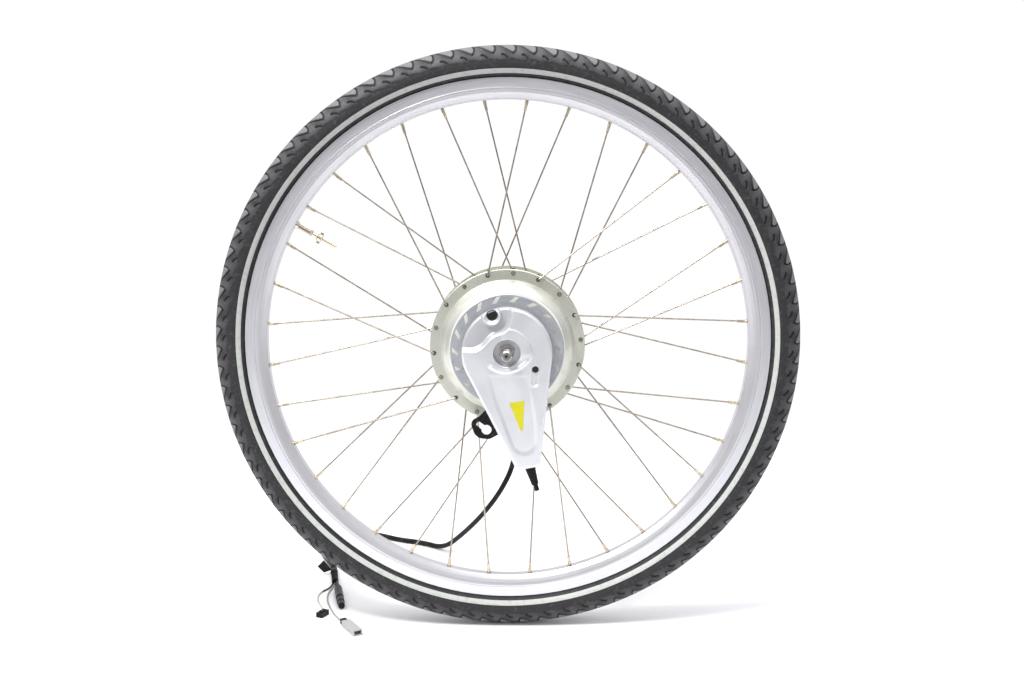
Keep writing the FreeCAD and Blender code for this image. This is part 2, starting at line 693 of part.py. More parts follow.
# ---- brake cover ---------------------------------------------------------------------
def cover_outline(inset, y):
    """Face of the teardrop outline, pulled in by an inset, arm straight down."""
    h = math.radians(ARM_HALF_ANGLE)
    r = COVER_R - inset
    reach = ARM_REACH - inset
    side_x = r * math.cos(h)
    side_z = -r * math.sin(h)
    corner = 6.0
    corner_z = -reach + corner
    corner_x = side_x - (side_z - corner_z) * math.tan(h)
    tip_x = corner_x - corner * 0.8

    def at(x, z):
        return V(x, y, z)

    def straight(a, b):
        return Part.LineSegment(at(*a), at(*b)).toShape()

    def bend(a, b, c):
        return Part.Arc(at(*a), at(*b), at(*c)).toShape()

    middle = (corner_x - corner * 0.3, -reach + corner * 0.32)
    edges = [
        bend((-side_x, side_z), (0.0, r), (side_x, side_z)),
        straight((side_x, side_z), (corner_x, corner_z)),
        bend((corner_x, corner_z), middle, (tip_x, -reach)),
        straight((tip_x, -reach), (-tip_x, -reach)),
        bend((-tip_x, -reach), (-middle[0], middle[1]), (-corner_x, corner_z)),
        straight((-corner_x, corner_z), (-side_x, side_z)),
    ]
    return Part.Face(Part.Wire(edges))


def cover_block(inset, y0, y1):
    block = cover_outline(inset, y0).extrude(V(0, y1 - y0, 0))
    return around(block, ARM_ANGLE)


def make_brake_cover():
    """Hollow teardrop cover and reaction arm, open at the back."""
    front = COVER_FRONT_Y
    back = COVER_BACK_Y
    floor_back = -60.0
    body = cover_block(0.0, front, back)
    recess = rounded_prism(RECESS, front - 1.0, RECESS_FLOOR_Y)
    recess = recess.cut(rod(WINDOW_BOSS_R, front - 1.0, RECESS_FLOOR_Y + 1.0, *WINDOW))
    scoop = rounded_prism(SCOOP, front - 1.0, SCOOP_FLOOR_Y)
    cavity = cover_block(COVER_WALL, front + 4.0, back + 1.0)
    column = rod(AXLE_RECESS_R + 2.2, front, floor_back)
    recess_back = RECESS_FLOOR_Y + COVER_WALL
    under_recess = rounded_prism(RECESS, front, recess_back)
    margin = rod(WINDOW_BOSS_R + 1.5, front, recess_back, *WINDOW)
    recess_wall = rounded_prism([(x + COVER_WALL, z - COVER_WALL, r) for x, z, r in RECESS], front, recess_back)
    cavity = cavity.cut([column, under_recess, margin, recess_wall])
    port_wall = rod(6.0, front, front + 6.0, *PORT)
    cavity = cavity.cut(port_wall)
    openings = [
        rod(AXLE_RECESS_R, front - 1.0, -62.5),
        rod(AXLE_R + 0.05, -64.0, floor_back + 1.0),
        rod(WINDOW_R, front - 1.0, RECESS_FLOOR_Y + 4.0, *WINDOW),
        rod(PORT_R, front - 1.0, front + 7.0, *PORT),
    ]
    return body.cut([recess, scoop, cavity] + openings)


def make_grease_plug():
    x, z = PORT
    plug = rod(PORT_R - 0.05, COVER_FRONT_Y + 0.8, COVER_FRONT_Y + 6.0, x, z)
    flange = rod(4.6, COVER_FRONT_Y + 6.05, COVER_FRONT_Y + 7.2, x, z)
    neck = rod(3.0, COVER_FRONT_Y + 5.9, COVER_FRONT_Y + 6.1, x, z)
    return plug.fuse([neck, flange])


def make_cover_label():
    """Thin blank sticker in the scoop of the arm."""
    return prism([(2.9, -58.6), (20.5, -56.1), (18.9, -91.6), (15.6, -90.9)], SCOOP_FLOOR_Y - 0.25, SCOOP_FLOOR_Y)


def make_arm_bracket():
    """Steel plate under the cover's edge with a keyhole for a hanging bolt."""
    y0 = COVER_BACK_Y
    y1 = y0 + 1.8
    outline = [(-18.0, -62.0, 0.0), (-32.8, -78.4, 6.0), (-44.0, -84.4, 7.5), (-37.0, -104.8, 12.0),
               (-20.5, -106.0, 10.0), (-8.0, -99.0, 8.0), (1.0, -97.0, 0.0), (-2.0, -80.0, 0.0)]
    plate = rounded_prism(outline, y0, y1)
    small = (-33.6, -87.6)
    big = (-24.4, -94.6)
    slot = prism([(-35.4, -89.8), (-31.6, -85.4), (-21.9, -92.4), (-26.4, -97.8)], y0 - 1.0, y1 + 1.0)
    return plate.cut([rod(2.9, y0 - 1.0, y1 + 1.0, *small), rod(KEYHOLE_R, y0 - 1.0, y1 + 1.0, *big), slot])


def make_cable_boot():
    """Tapered rubber boot on the arm's tip and the stub of tube that comes out of it."""
    direction = V(math.sin(math.radians(17.0)), 0, -math.cos(math.radians(17.0)))
    root = V(*polar_point(ARM_REACH - 0.05, 180.0 + ARM_ANGLE, -66.0)) + V(2.0, 0, 0)
    boot = Part.makeCone(6.2, 4.3, 19.0, root, direction)
    stub = Part.makeCylinder(2.9, 28.0, root + direction * 1.0, direction)
    cone = boot.fuse(Part.makeCylinder(4.3, 2.0, root + direction * 18.9, direction))
    save("brake_cable_boot", cone.cut(stub))
    wall = Part.makeCylinder(2.2, 30.0, root, direction)
    save("brake_cable_tube", stub.cut(wall))


def polar_point(r, degrees, y):
    x, z = polar(r, degrees)
    return (x, y, z)


# ---- motor cable and what is on its end ------------------------------------------------
CABLE_Z = FLOOR + CABLE_D / 2.0 + 0.1
WIRE_Z = FLOOR + WIRE_D / 2.0 + 0.1
SLEEVE_R = 4.5
SLEEVE_Z = FLOOR + SLEEVE_R + 0.1
SLEEVE_END = (-236.0, 127.0)
FLAG_CENTRE = (-257.4, -342.4)

CABLE_ROUTE = [
    (0.0, 95.0, 0.0), (0.0, 123.0, 0.0), (1.0, 150.0, -8.0), (3.0, 171.0, -29.0), (6.0, 179.0, -58.0),
    (9.0, 178.0, -102.0), (10.0, 172.0, -148.0), (7.0, 168.0, -195.0), (-12.0, 176.0, -237.0),
    (-39.0, 200.0, -279.0), (-68.0, 238.0, -318.0), (-97.0, 275.0, CABLE_Z), (-130.0, 301.0, CABLE_Z),
    (-168.0, 315.0, CABLE_Z), (-196.0, 336.0, CABLE_Z), (-221.5, 345.0, CABLE_Z), (-248.0, 341.5, CABLE_Z),
    (-269.5, 325.0, CABLE_Z), (-279.5, 300.0, CABLE_Z), (-275.5, 262.0, CABLE_Z), (-262.0, 224.0, CABLE_Z),
    (-247.0, 188.0, CABLE_Z),
]
WIRE_1_ROUTE = [
    (-239.2, 126.4, -352.4), (-240.4, 119.0, WIRE_Z), (-243.6, 109.5, WIRE_Z), (-249.0, 101.0, WIRE_Z),
    (-252.5, 91.0, WIRE_Z), (-252.6, 76.0, WIRE_Z), (-248.0, 58.0, WIRE_Z), (-241.0, 41.0, WIRE_Z),
    (-233.4, 24.4, WIRE_Z),
]
WIRE_2_ROUTE = [
    (-236.7, 126.8, -352.4), (-237.5, 115.0, WIRE_Z), (-240.5, 97.0, WIRE_Z), (-240.0, 78.0, WIRE_Z),
    (-236.0, 58.0, WIRE_Z), (-229.6, 38.0, WIRE_Z), (-222.0, 18.0, WIRE_Z), (-213.6, 2.0, WIRE_Z),
    (-207.0, -9.0, WIRE_Z),
]


def lying(start, end, sections):
    """Stepped round bar on the floor plan line, from (radius, length, height of axis) steps."""
    a = V(start[0], start[1], 0)
    b = V(end[0], end[1], 0)
    along = (b - a).normalize()
    pieces = []
    reach = 0.0
    for r, length, z in sections:
        root = a + along * reach + V(0, 0, z)
        pieces.append(Part.makeCylinder(r, length, root, along))
        reach += length
    solid = pieces[0]
    for piece in pieces[1:]:
        solid = solid.fuse(piece)
    return solid


def lying_block(start, end, width, length, z0, z1):
    """Block on the floor whose middle line runs from one plan point towards another."""
    block = Part.makeBox(length, width, z1 - z0, V(0, -width / 2.0, z0))
    degrees = math.degrees(math.atan2(end[1] - start[1], end[0] - start[0]))
    block.rotate(ORIGIN, V(0, 0, 1), degrees)
    block.translate(V(start[0], start[1], 0))
    return block


def make_cable_sleeve():
    """Ribbed end sleeve on the cable, where the wires come out."""
    start = CABLE_ROUTE[-1]
    ribs = 9
    run = math.dist(start[:2], SLEEVE_END)
    step = run / (2 * ribs + 1)
    sections = []
    for k in range(2 * ribs + 1):
        sections.append((SLEEVE_R if k % 2 == 0 else SLEEVE_R - 0.7, step, SLEEVE_Z))
    return lying(start, SLEEVE_END, sections)


def make_power_plug():
    """Round in-line connector in two steps, with a thin tail."""
    z = FLOOR + 5.3
    body = [(2.2, 24.0, z), (4.6, 6.0, z), (5.2, 34.0, z), (4.3, 4.0, z), (5.0, 12.0, z), (4.4, 12.0, z)]
    return lying((-234.0, 127.4), (-213.8, 31.4), body)


def make_signal_connector():
    """Small rectangular connector housing with a latch."""
    body = lying_block((-233.0, 23.0), (-239.6, 8.6), 9.0, 16.0, FLOOR + 0.1, FLOOR + 6.2)
    latch = lying_block((-234.2, 20.4), (-239.6, 8.6), 3.6, 10.0, FLOOR + 6.1, FLOOR + 7.4)
    return body.fuse(latch)


def make_clear_connector():
    """Translucent housing with two rows of terminals, and its black wire seal."""
    start = (-207.0, -9.0)
    end = (-179.0, -57.0)
    step = V(end[0] - start[0], end[1] - start[1], 0).normalize() * 10.0
    shell_start = (start[0] + step.x, start[1] + step.y)
    save("connector_seal", lying_block(start, end, 7.5, 10.0, FLOOR + 0.1, FLOOR + 6.6))
    shell = lying_block(shell_start, end, 11.5, 38.0, FLOOR + 0.1, FLOOR + 7.6)
    mouth_start = (start[0] + step.x * 3.0, start[1] + step.y * 3.0)
    mouth = lying_block(mouth_start, end, 9.2, 30.0, FLOOR + 1.4, FLOOR + 6.3)
    save("clear_connector", shell.cut(mouth))


def make_tape_flag():
    """Tape round the sleeve, its ends stuck together into a square flag that stands on a corner."""
    x, z = FLAG_CENTRE
    half = 9.0
    flag = prism([(x - half, z), (x, z - half), (x + half + 1.6, z - 4.8), (x, z + half)], 167.0, 167.8)
    along = V(SLEEVE_END[0] - CABLE_ROUTE[-1][0], SLEEVE_END[1] - CABLE_ROUTE[-1][1], 0).normalize()
    start = V(CABLE_ROUTE[-1][0], CABLE_ROUTE[-1][1], SLEEVE_Z) + along * 16.5
    wrap = Part.makeCylinder(SLEEVE_R + 0.5, 8.0, start, along)
    inside = Part.makeCylinder(SLEEVE_R + 0.02, 30.0, start - along * 10.0, along)
    return flag.fuse(wrap).cut(inside)


def make_phase_leads():
    """Three leads from the cable's inner end through the axle's window to the board."""
    leads = []
    for x in (-2.0, 0.0, 2.0):
        route = [(x, 30.0, 0.0), (x, 25.2, 0.0), (x, 25.2, 14.0), (3.1 * x, 24.6, 31.0), (3.1 * x, 22.45, 36.0)]
        leads.append(swept(route, 0.85, radius=2.2))
    return leads


# ---- all nodes -----------------------------------------------------------------------
def main():
    save("tyre", make_tyre())
    save("inner_tube", make_inner_tube())
    save("rim_tape", make_rim_tape())
    save("rim", make_rim())
    make_valve()
    make_spokes()

    save("hub_shell", make_hub_shell())
    save("motor_cover", make_motor_cover())
    save("motor_cover_screws", make_cover_screws())
    save("rotor_ring", tube(75.6, 79.65, -STACK_HALF - 1.5, STACK_HALF + 1.5))
    save("magnets", make_magnets())
    save("stator_core", make_stator_core())
    save("stator_windings", make_windings())
    save("stator_carrier", make_stator_carrier())
    save("phase_board", make_phase_board())
    save("phase_leads", make_phase_leads())

    races = [make_bearing("left", -31.5 - BEARING_T), make_bearing("right", 31.5)]
    save("bearing_outer_races", [outer for outer, inner in races])
    save("bearing_inner_races", [inner for outer, inner in races])
    save("hub_seals", [make_seal(-46.0, -43.0), make_seal(44.0, 47.0)])

    locknut_out = OVER_LOCKNUT / 2.0
    save("axle", make_axle())
    save("axle_spacers", [make_spacer(-48.55, -41.05), make_spacer(41.05, 61.45)])
    save("locknuts", [make_locknut(-locknut_out, -62.55), make_locknut(61.5, locknut_out)])

    save("brake_drum", make_brake_drum())
    save("brake_drum_clip", make_drum_clip())
    save("cooling_disc", make_cooling_disc())
    for k in range(3):
        save("brake_shoe_%d" % (k + 1), around(make_shoe(), 120.0 * k))
        save("brake_rollers_%d" % (k + 1), [around(roller, 120.0 * k) for roller in make_rollers()])
    save("roller_guide", make_roller_guide())
    save("brake_cam", make_brake_cam())
    save("cam_bush", make_cam_bush())
    save("shoe_return_spring", make_shoe_spring())
    save("brake_cover", make_brake_cover())
    save("grease_plug", make_grease_plug())
    save("cover_label", make_cover_label())
    save("arm_bracket", make_arm_bracket())
    make_cable_boot()

    save("cable_grommet", make_cable_grommet())
    save("cable_core", rod(CABLE_D / 2.0, 30.0, AXLE_RIGHT_Y))
    save("motor_cable", swept(CABLE_ROUTE, CABLE_D / 2.0, label="motor cable"))
    save("signal_wire_1", swept(WIRE_1_ROUTE, WIRE_D / 2.0, label="signal wire 1"))
    save("signal_wire_2", swept(WIRE_2_ROUTE, WIRE_D / 2.0, label="signal wire 2"))
    save("cable_sleeve", make_cable_sleeve())
    save("power_plug", make_power_plug())
    save("signal_connector", make_signal_connector())
    make_clear_connector()
    save("tape_flag", make_tape_flag())


main()
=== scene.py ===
"""Rear wheel with a hub motor and a roller brake: its looks, built on the CAD part. Metres."""
import math

import bpy
import numpy as np
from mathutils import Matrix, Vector


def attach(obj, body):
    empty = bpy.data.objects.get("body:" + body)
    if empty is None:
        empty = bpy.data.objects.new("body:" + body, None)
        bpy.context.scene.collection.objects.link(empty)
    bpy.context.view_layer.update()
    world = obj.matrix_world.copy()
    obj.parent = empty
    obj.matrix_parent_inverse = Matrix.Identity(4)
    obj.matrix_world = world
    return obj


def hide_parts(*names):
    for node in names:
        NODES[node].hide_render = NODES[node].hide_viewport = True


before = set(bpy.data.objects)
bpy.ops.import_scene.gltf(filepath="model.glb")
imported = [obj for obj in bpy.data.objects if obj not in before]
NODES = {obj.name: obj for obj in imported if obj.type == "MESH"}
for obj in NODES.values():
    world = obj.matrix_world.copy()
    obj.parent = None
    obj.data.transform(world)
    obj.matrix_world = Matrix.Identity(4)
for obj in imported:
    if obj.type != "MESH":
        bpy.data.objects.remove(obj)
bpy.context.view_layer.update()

MM = 0.001
TYRE_R = 0.355
FLOOR_Z = -TYRE_R


# ---- materials: building blocks --------------------------------------------------------
def tone(red, green, blue):
    """Linear colour from 0-255 screen values."""
    return [(c / 255.0) ** 2.2 for c in (red, green, blue)] + [1.0]


def scaled(colour, share):
    """The same colour, lighter or darker."""
    return [min(1.0, c * share) for c in colour[:3]] + [1.0]


class Finish:
    """A node material being put together. Its methods give back sockets."""

    def __init__(self, name):
        self.material = bpy.data.materials.new(name)
        self.material.use_nodes = True
        self.tree = self.material.node_tree
        self.shader = self.tree.nodes["Principled BSDF"]
        self.place = self.tree.nodes.new("ShaderNodeTexCoord").outputs["Object"]
        self.normal = None

    def put(self, socket, value):
        """Link a socket to the input, or set a plain value on it."""
        if isinstance(value, bpy.types.NodeSocket):
            self.tree.links.new(value, socket)
        else:
            socket.default_value = value

    def math(self, operation, *values):
        node = self.tree.nodes.new("ShaderNodeMath")
        node.operation = operation
        for socket, value in zip(node.inputs, values):
            self.put(socket, value)
        return node.outputs[0]

    def ramp(self, value, low, high, to_low=0.0, to_high=1.0):
        """Value eased from to_low at low to to_high at high."""
        node = self.tree.nodes.new("ShaderNodeMapRange")
        node.interpolation_type = "SMOOTHSTEP"
        for socket, v in zip(node.inputs, (value, low, high, to_low, to_high)):
            self.put(socket, v)
        return node.outputs[0]

    def band(self, value, low, high, soft):
        """1 between low and high, falling to 0 over a soft edge."""
        rise = self.ramp(value, low - soft, low + soft)
        fall = self.ramp(value, high - soft, high + soft, 1.0, 0.0)
        return self.math("MULTIPLY", rise, fall)

    def noise(self, size, detail=3.0, rough=0.55, place=None):
        """Cloudy 0-1 pattern whose blobs are about that size across."""
        node = self.tree.nodes.new("ShaderNodeTexNoise")
        self.put(node.inputs["Vector"], place or self.place)
        node.inputs["Scale"].default_value = 1.0 / size
        node.inputs["Detail"].default_value = detail
        node.inputs["Roughness"].default_value = rough
        return node.outputs[0]

    def cells(self, size, feature="F1"):
        """Distance pattern of scattered points about that size apart."""
        node = self.tree.nodes.new("ShaderNodeTexVoronoi")
        node.feature = feature
        self.put(node.inputs["Vector"], self.place)
        node.inputs["Scale"].default_value = 1.0 / size
        return node.outputs["Distance"]

    def attribute(self, name):
        """Number kept on the mesh's own points."""
        node = self.tree.nodes.new("ShaderNodeAttribute")
        node.attribute_name = name
        return node.outputs["Fac"]

    def axes(self):
        """Sockets of x, y and z."""
        node = self.tree.nodes.new("ShaderNodeSeparateXYZ")
        self.put(node.inputs[0], self.place)
        return node.outputs

    def polar(self):
        """Radius and angle about the axle, and y."""
        x, y, z = self.axes()
        squares = self.math("ADD", self.math("MULTIPLY", x, x), self.math("MULTIPLY", z, z))
        return self.math("SQRT", squares), self.math("ARCTAN2", x, z), y

    def vector(self, x, y, z):
        node = self.tree.nodes.new("ShaderNodeCombineXYZ")
        for socket, v in zip(node.inputs, (x, y, z)):
            self.put(socket, v)
        return node.outputs[0]

    def turned_marks(self, pitch, drawn_out=0.25):
        """Fine marks that run round the axle, as a lathe or a polishing wheel leaves."""
        radius, angle, y = self.polar()
        place = self.vector(self.math("MULTIPLY", radius, 1.0 / pitch),
                            self.math("MULTIPLY", y, 1.0 / pitch),
                            self.math("MULTIPLY", angle, 1.0 / drawn_out))
        return self.noise(1.0, 4.0, 0.5, place)

    def mix(self, share, a, b):
        """Colour a, with a share of colour b laid over it."""
        node = self.tree.nodes.new("ShaderNodeMix")
        node.data_type = "RGBA"
        self.put(node.inputs[0], share)
        self.put(node.inputs[6], a)
        self.put(node.inputs[7], b)
        return node.outputs[2]

    def bump(self, height, depth, strength=1.0):
        """Relief on top of any that came before; a strength below nought sinks it."""
        node = self.tree.nodes.new("ShaderNodeBump")
        node.inputs["Strength"].default_value = strength
        node.inputs["Distance"].default_value = depth
        self.put(node.inputs["Height"], height)
        if self.normal is not None:
            self.put(node.inputs["Normal"], self.normal)
        self.normal = node.outputs[0]

    def done(self, colour, roughness, metallic=0.0, **more):
        """The finished material; more are the shader's own sockets by name."""
        self.put(self.shader.inputs["Base Color"], colour)
        self.put(self.shader.inputs["Roughness"], roughness)
        self.put(self.shader.inputs["Metallic"], metallic)
        for name, value in more.items():
            self.put(self.shader.inputs[name.replace("_", " ")], value)
        if self.normal is not None:
            self.put(self.shader.inputs["Normal"], self.normal)
        return self.material


def worn(name, colour, roughness, metallic=0.0, mottle=0.012, change=0.12, grain=0.0008, depth=0.00002,
         dirt=None, dirt_share=0.25, **more):
    """General surface: broad mottling, fine grain in gloss and relief, and some dirt in patches."""
    f = Finish(name)
    broad = f.noise(mottle, 4.0)
    fine = f.noise(grain, 3.0)
    base = f.mix(f.ramp(broad, 0.3, 0.7), scaled(colour, 1.0 - change), scaled(colour, 1.0 + change))
    if dirt is not None:
        patches = f.math("MULTIPLY", f.ramp(f.noise(mottle * 0.6, 6.0), 0.52, 0.72), dirt_share)
        base = f.mix(patches, base, dirt)
    f.bump(fine, depth)
    gloss = f.ramp(f.math("ADD", f.math("MULTIPLY", broad, 0.6), f.math("MULTIPLY", fine, 0.4)), 0.3, 0.7,
                   max(0.02, roughness - 0.07), min(1.0, roughness + 0.09))
    return f.done(base, gloss, metallic, **more)


def turned_metal(name, colour, roughness, pitch=0.0006, change=0.06, stain=None, metallic=1.0):
    """Metal with turning marks about the axle, and some stain in patches."""
    f = Finish(name)
    marks = f.turned_marks(pitch)
    broad = f.noise(0.02, 4.0)
    base = f.mix(f.ramp(marks, 0.25, 0.75), scaled(colour, 1.0 - change), scaled(colour, 1.0 + change))
    if stain is not None:
        base = f.mix(f.math("MULTIPLY", f.ramp(f.noise(0.006, 6.0), 0.55, 0.75), 0.35), base, stain)
    f.bump(marks, 0.000012)
    gloss = f.ramp(f.math("ADD", f.math("MULTIPLY", broad, 0.5), f.math("MULTIPLY", marks, 0.5)), 0.3, 0.7,
                   roughness - 0.05, roughness + 0.08)
    return f.done(base, gloss, metallic)


# ---- camera, floor and light -----------------------------------------------------------
def linked(name, data):
    """New object of the scene that holds the data."""
    made = bpy.data.objects.new(name, data)
    bpy.context.scene.collection.objects.link(made)
    return made


def aim(thing, way):
    """Turn a camera or lamp so that it looks along a direction."""
    thing.rotation_euler = way.to_track_quat("-Z", "Y").to_euler()


def make_camera():
    """Camera a little above the axle, straight in front of the brake side."""
    elevation = math.radians(9.353)
    azimuth = math.radians(0.514)
    distance = 1.57705
    target = Vector((0.00536, 0.0, 0.00227))
    out = Vector((math.sin(azimuth) * math.cos(elevation), -math.cos(azimuth) * math.cos(elevation),
                  math.sin(elevation)))
    data = bpy.data.cameras.new("camera")
    data.lens = 45.56
    data.sensor_width = 36.0
    camera = linked("camera", data)
    camera.location = target + out * distance
    aim(camera, -out)
    bpy.context.scene.camera = camera


def mesh_object(name, vertices, faces, material):
    """New smooth-shaded mesh of the scene."""
    mesh = bpy.data.meshes.new(name)
    mesh.from_pydata([tuple(v) for v in vertices], [], [tuple(int(i) for i in f) for f in faces])
    mesh.update()
    mesh.polygons.foreach_set("use_smooth", [True] * len(mesh.polygons))
    mesh.materials.append(material)
    return linked(name, mesh)


def keep_values(mesh, name, values):
    """Keep one number on each point of the mesh, for its material to read."""
    attribute = mesh.attributes.new(name, "FLOAT", "POINT")
    attribute.data.foreach_set("value", values.reshape(-1).astype(np.float32))


def make_stage():
    """Pale floor; past its far edge is the bright back of the studio."""
    half, near, far = 2.2, -1.1, 1.0
    gap = 0.0002               # under the tyre, so that the two don't touch
    z = FLOOR_Z - gap
    corners = [(-half, near, z), (half, near, z), (half, far, z), (-half, far, z)]
    f = Finish("floor_paper")
    paper = f.mix(f.noise(0.5, 2.0), [0.86, 0.86, 0.88, 1.0], [0.90, 0.90, 0.91, 1.0])
    mesh_object("floor", corners, [(0, 1, 2, 3)], f.done(paper, 0.9))


def area_light(name, place, target, size, power):
    """Rectangular lamp at a place, turned towards its target."""
    data = bpy.data.lights.new(name, "AREA")
    data.shape = "RECTANGLE"
    data.size, data.size_y = size
    data.energy = power
    lamp = linked(name, data)
    lamp.location = place
    aim(lamp, Vector(target) - Vector(place))


def make_light():
    """Soft light from above and from the bright back of the studio; the room in front is dimmer."""
    world = bpy.data.worlds.new("world")
    bpy.context.scene.world = world
    world.use_nodes = True
    tree = world.node_tree
    split = tree.nodes.new("ShaderNodeSeparateXYZ")
    tree.links.new(tree.nodes.new("ShaderNodeTexCoord").outputs["Generated"], split.inputs[0])
    # a direction's part along z or y, from and to, and the strength of the light at each
    up = (-0.15, 0.75, 0.30, 1.05)
    back = (0.15, 0.60, 0.0, 1.06)
    parts = []
    for axis, numbers in ((2, up), (1, back)):
        part = tree.nodes.new("ShaderNodeMapRange")
        part.interpolation_type = "SMOOTHSTEP"
        tree.links.new(split.outputs[axis], part.inputs[0])
        for socket, value in zip(list(part.inputs)[1:5], numbers):
            socket.default_value = value
        parts.append(part.outputs[0])
    brighter = tree.nodes.new("ShaderNodeMath")
    brighter.operation = "MAXIMUM"
    for socket, part in zip(brighter.inputs, parts):
        tree.links.new(part, socket)
    background = tree.nodes["Background"]
    background.inputs["Color"].default_value = (0.98, 0.978, 1.0, 1.0)
    tree.links.new(brighter.outputs[0], background.inputs["Strength"])
    area_light("key", (-0.9, -0.9, 1.75), (0.0, 0.05, 0.0), (0.5, 0.5), 50.0)
    area_light("top", (0.35, -0.25, 1.9), (0.0, 0.15, -0.1), (1.6, 1.0), 18.0)
    bpy.context.scene.view_settings.view_transform = "Standard"


# ---- cords -----------------------------------------------------------------------------
CABLE_Z = FLOOR_Z / MM + 3.6     # mm, the cable's middle where it lies on the floor
WIRE_Z = FLOOR_Z / MM + 1.1      # mm, the thin wires' middle there
# points of the routes, in mm
CABLE_ROUTE = [
    (0, 95, 0), (0, 123, 0), (1, 150, -8), (3, 171, -29), (6, 179, -58), (9, 178, -102),
    (10, 172, -148), (7, 168, -195), (-12, 176, -237), (-39, 200, -279), (-68, 238, -318),
    (-97, 275, CABLE_Z), (-130, 301, CABLE_Z), (-168, 315, CABLE_Z), (-196, 336, CABLE_Z),
    (-221.5, 345, CABLE_Z), (-248, 341.5, CABLE_Z), (-269.5, 325, CABLE_Z), (-279.5, 300, CABLE_Z),
    (-275.5, 262, CABLE_Z), (-262, 224, CABLE_Z), (-247, 188, CABLE_Z),
]
WIRE_1_ROUTE = [
    (-239.2, 126.4, -352.4), (-240.4, 119, WIRE_Z), (-243.6, 109.5, WIRE_Z), (-249, 101, WIRE_Z),
    (-252.5, 91, WIRE_Z), (-252.6, 76, WIRE_Z), (-248, 58, WIRE_Z), (-241, 41, WIRE_Z),
    (-233.4, 24.4, WIRE_Z),
]
WIRE_2_ROUTE = [
    (-236.7, 126.8, -352.4), (-237.5, 115, WIRE_Z), (-240.5, 97, WIRE_Z), (-240, 78, WIRE_Z),
    (-236, 58, WIRE_Z), (-229.6, 38, WIRE_Z), (-222, 18, WIRE_Z), (-213.6, 2, WIRE_Z),
    (-207, -9, WIRE_Z),
]
SLEEVE_Y = 0.0985                # m, where the shrink sleeve over signal wire 1 ends


def cord_curve(name, route, diameter, material):
    """Round cord along a smooth line through the space of its route."""
    data = bpy.data.curves.new(name, "CURVE")
    data.dimensions = "3D"
    data.bevel_depth = diameter / 2.0
    data.bevel_resolution = 6
    data.resolution_u = 16
    data.use_fill_caps = True
    spline = data.splines.new("NURBS")
    spline.points.add(len(route) - 1)
    for point, (x, y, z) in zip(spline.points, route):
        point.co = (x * MM, y * MM, z * MM, 1.0)
    spline.order_u = 3
    spline.use_endpoint_u = True
    data.materials.append(material)
    return linked(name, data)


def wire_insulation(name, colour, sleeve_y):
    """Thin insulation, black past sleeve_y where a shrink sleeve covers it."""
    f = Finish(name)
    cloud = f.noise(0.006, 4.0)
    fine = f.noise(0.0003)
    base = f.mix(f.ramp(cloud, 0.3, 0.7), scaled(colour, 0.88), scaled(colour, 1.12))
    soft = 0.0003
    base = f.mix(f.ramp(f.axes()[1], sleeve_y - soft, sleeve_y + soft), base, tone(14, 13, 14))
    f.bump(fine, 0.00002)
    return f.done(base, f.ramp(cloud, 0.3, 0.7, 0.42, 0.58), 0.0, Specular_IOR_Level=0.3)


def make_cords():
    """The motor cable and the two signal wires, as round cords in place of the CAD ones."""
    sheath = worn("cable_sheath", tone(16, 15, 16), 0.42, mottle=0.02, change=0.15, grain=0.0006,
                  depth=0.00003, dirt=tone(120, 116, 112), dirt_share=0.12, Specular_IOR_Level=0.25)
    cable = cord_curve("cable_sheath", CABLE_ROUTE, 0.007, sheath)
    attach(cable, "axle_assembly")
    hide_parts("motor_cable")
    no_sleeve = 0.5            # far past the wire's end
    wires = (
        ("wire_1", WIRE_1_ROUTE, 0.1082, tone(186, 178, 168), SLEEVE_Y, "signal_wire_1", "wire_white",
         ["signal_connector"]),
        ("wire_2", WIRE_2_ROUTE, 0.1427, tone(150, 148, 148), no_sleeve, "signal_wire_2", "wire_grey",
         ["connector_seal", "clear_connector"]),
    )
    for name, route, length, colour, sleeve_y, node, slot, extra in wires:
        wire = cord_curve(name, route, 0.002, wire_insulation(name + "_insulation", colour, sleeve_y))
        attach(wire, "axle_assembly")
        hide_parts(node)


# ---- tyre ------------------------------------------------------------------------------
PITCHES = 90                   # repeats of the tread round the tyre
STEPS = 26                     # mesh steps in each repeat
GROOVE_DEPTH = 1.9             # mm
# The tread is laid out on a narrower tyre and stretched. Across it, lengths are in mm of that tyre from
# the crown; along it, they are shares of one repeat.
STRETCH = 1.22
GROOVE_START = 5.0
GROOVE_RISE = 12.6
GROOVE_END = 0.80
HOOK = (0.79, 11.0)            # middle of the hook's ring, along and across
HOOK_REACH = (0.125, 6.6)      # half its length and half its width
SIPE = (0.40, 20.6)            # middle of the short sipe, along and across
TREAD_EDGE = 24.4


def three_point_arc(a, b, c, count):
    """Points along the circle through three points, both ends included."""
    a, b, c = (np.array(p, float) for p in (a, b, c))
    lhs = 2.0 * np.array([b - a, c - a])
    rhs = np.array([b @ b - a @ a, c @ c - a @ a])
    centre = np.linalg.solve(lhs, rhs)
    r = np.linalg.norm(a - centre)
    t = [math.atan2(*(p - centre)[::-1]) for p in (a, b, c)]
    for k in (1, 2):
        while t[k] - t[k - 1] > math.pi:
            t[k] -= 2 * math.pi
        while t[k] - t[k - 1] < -math.pi:
            t[k] += 2 * math.pi
    along = np.linspace(t[0], t[2], count)
    return [tuple(centre + r * np.array([math.cos(v), math.sin(v)])) for v in along]


def smooth_step(value, low, high):
    """0 below low, 1 above high, and eased between them."""
    t = np.clip((value - low) / (high - low), 0.0, 1.0)
    return t * t * (3.0 - 2.0 * t)


def groove_line(w):
    """Distance across of the slanted groove's middle line, at w along the repeat."""
    share = np.clip(w / GROOVE_END, 0.0, 1.0)
    return GROOVE_START + GROOVE_RISE * (0.75 * share + 0.25 * smooth_step(share, 0.0, 1.0))


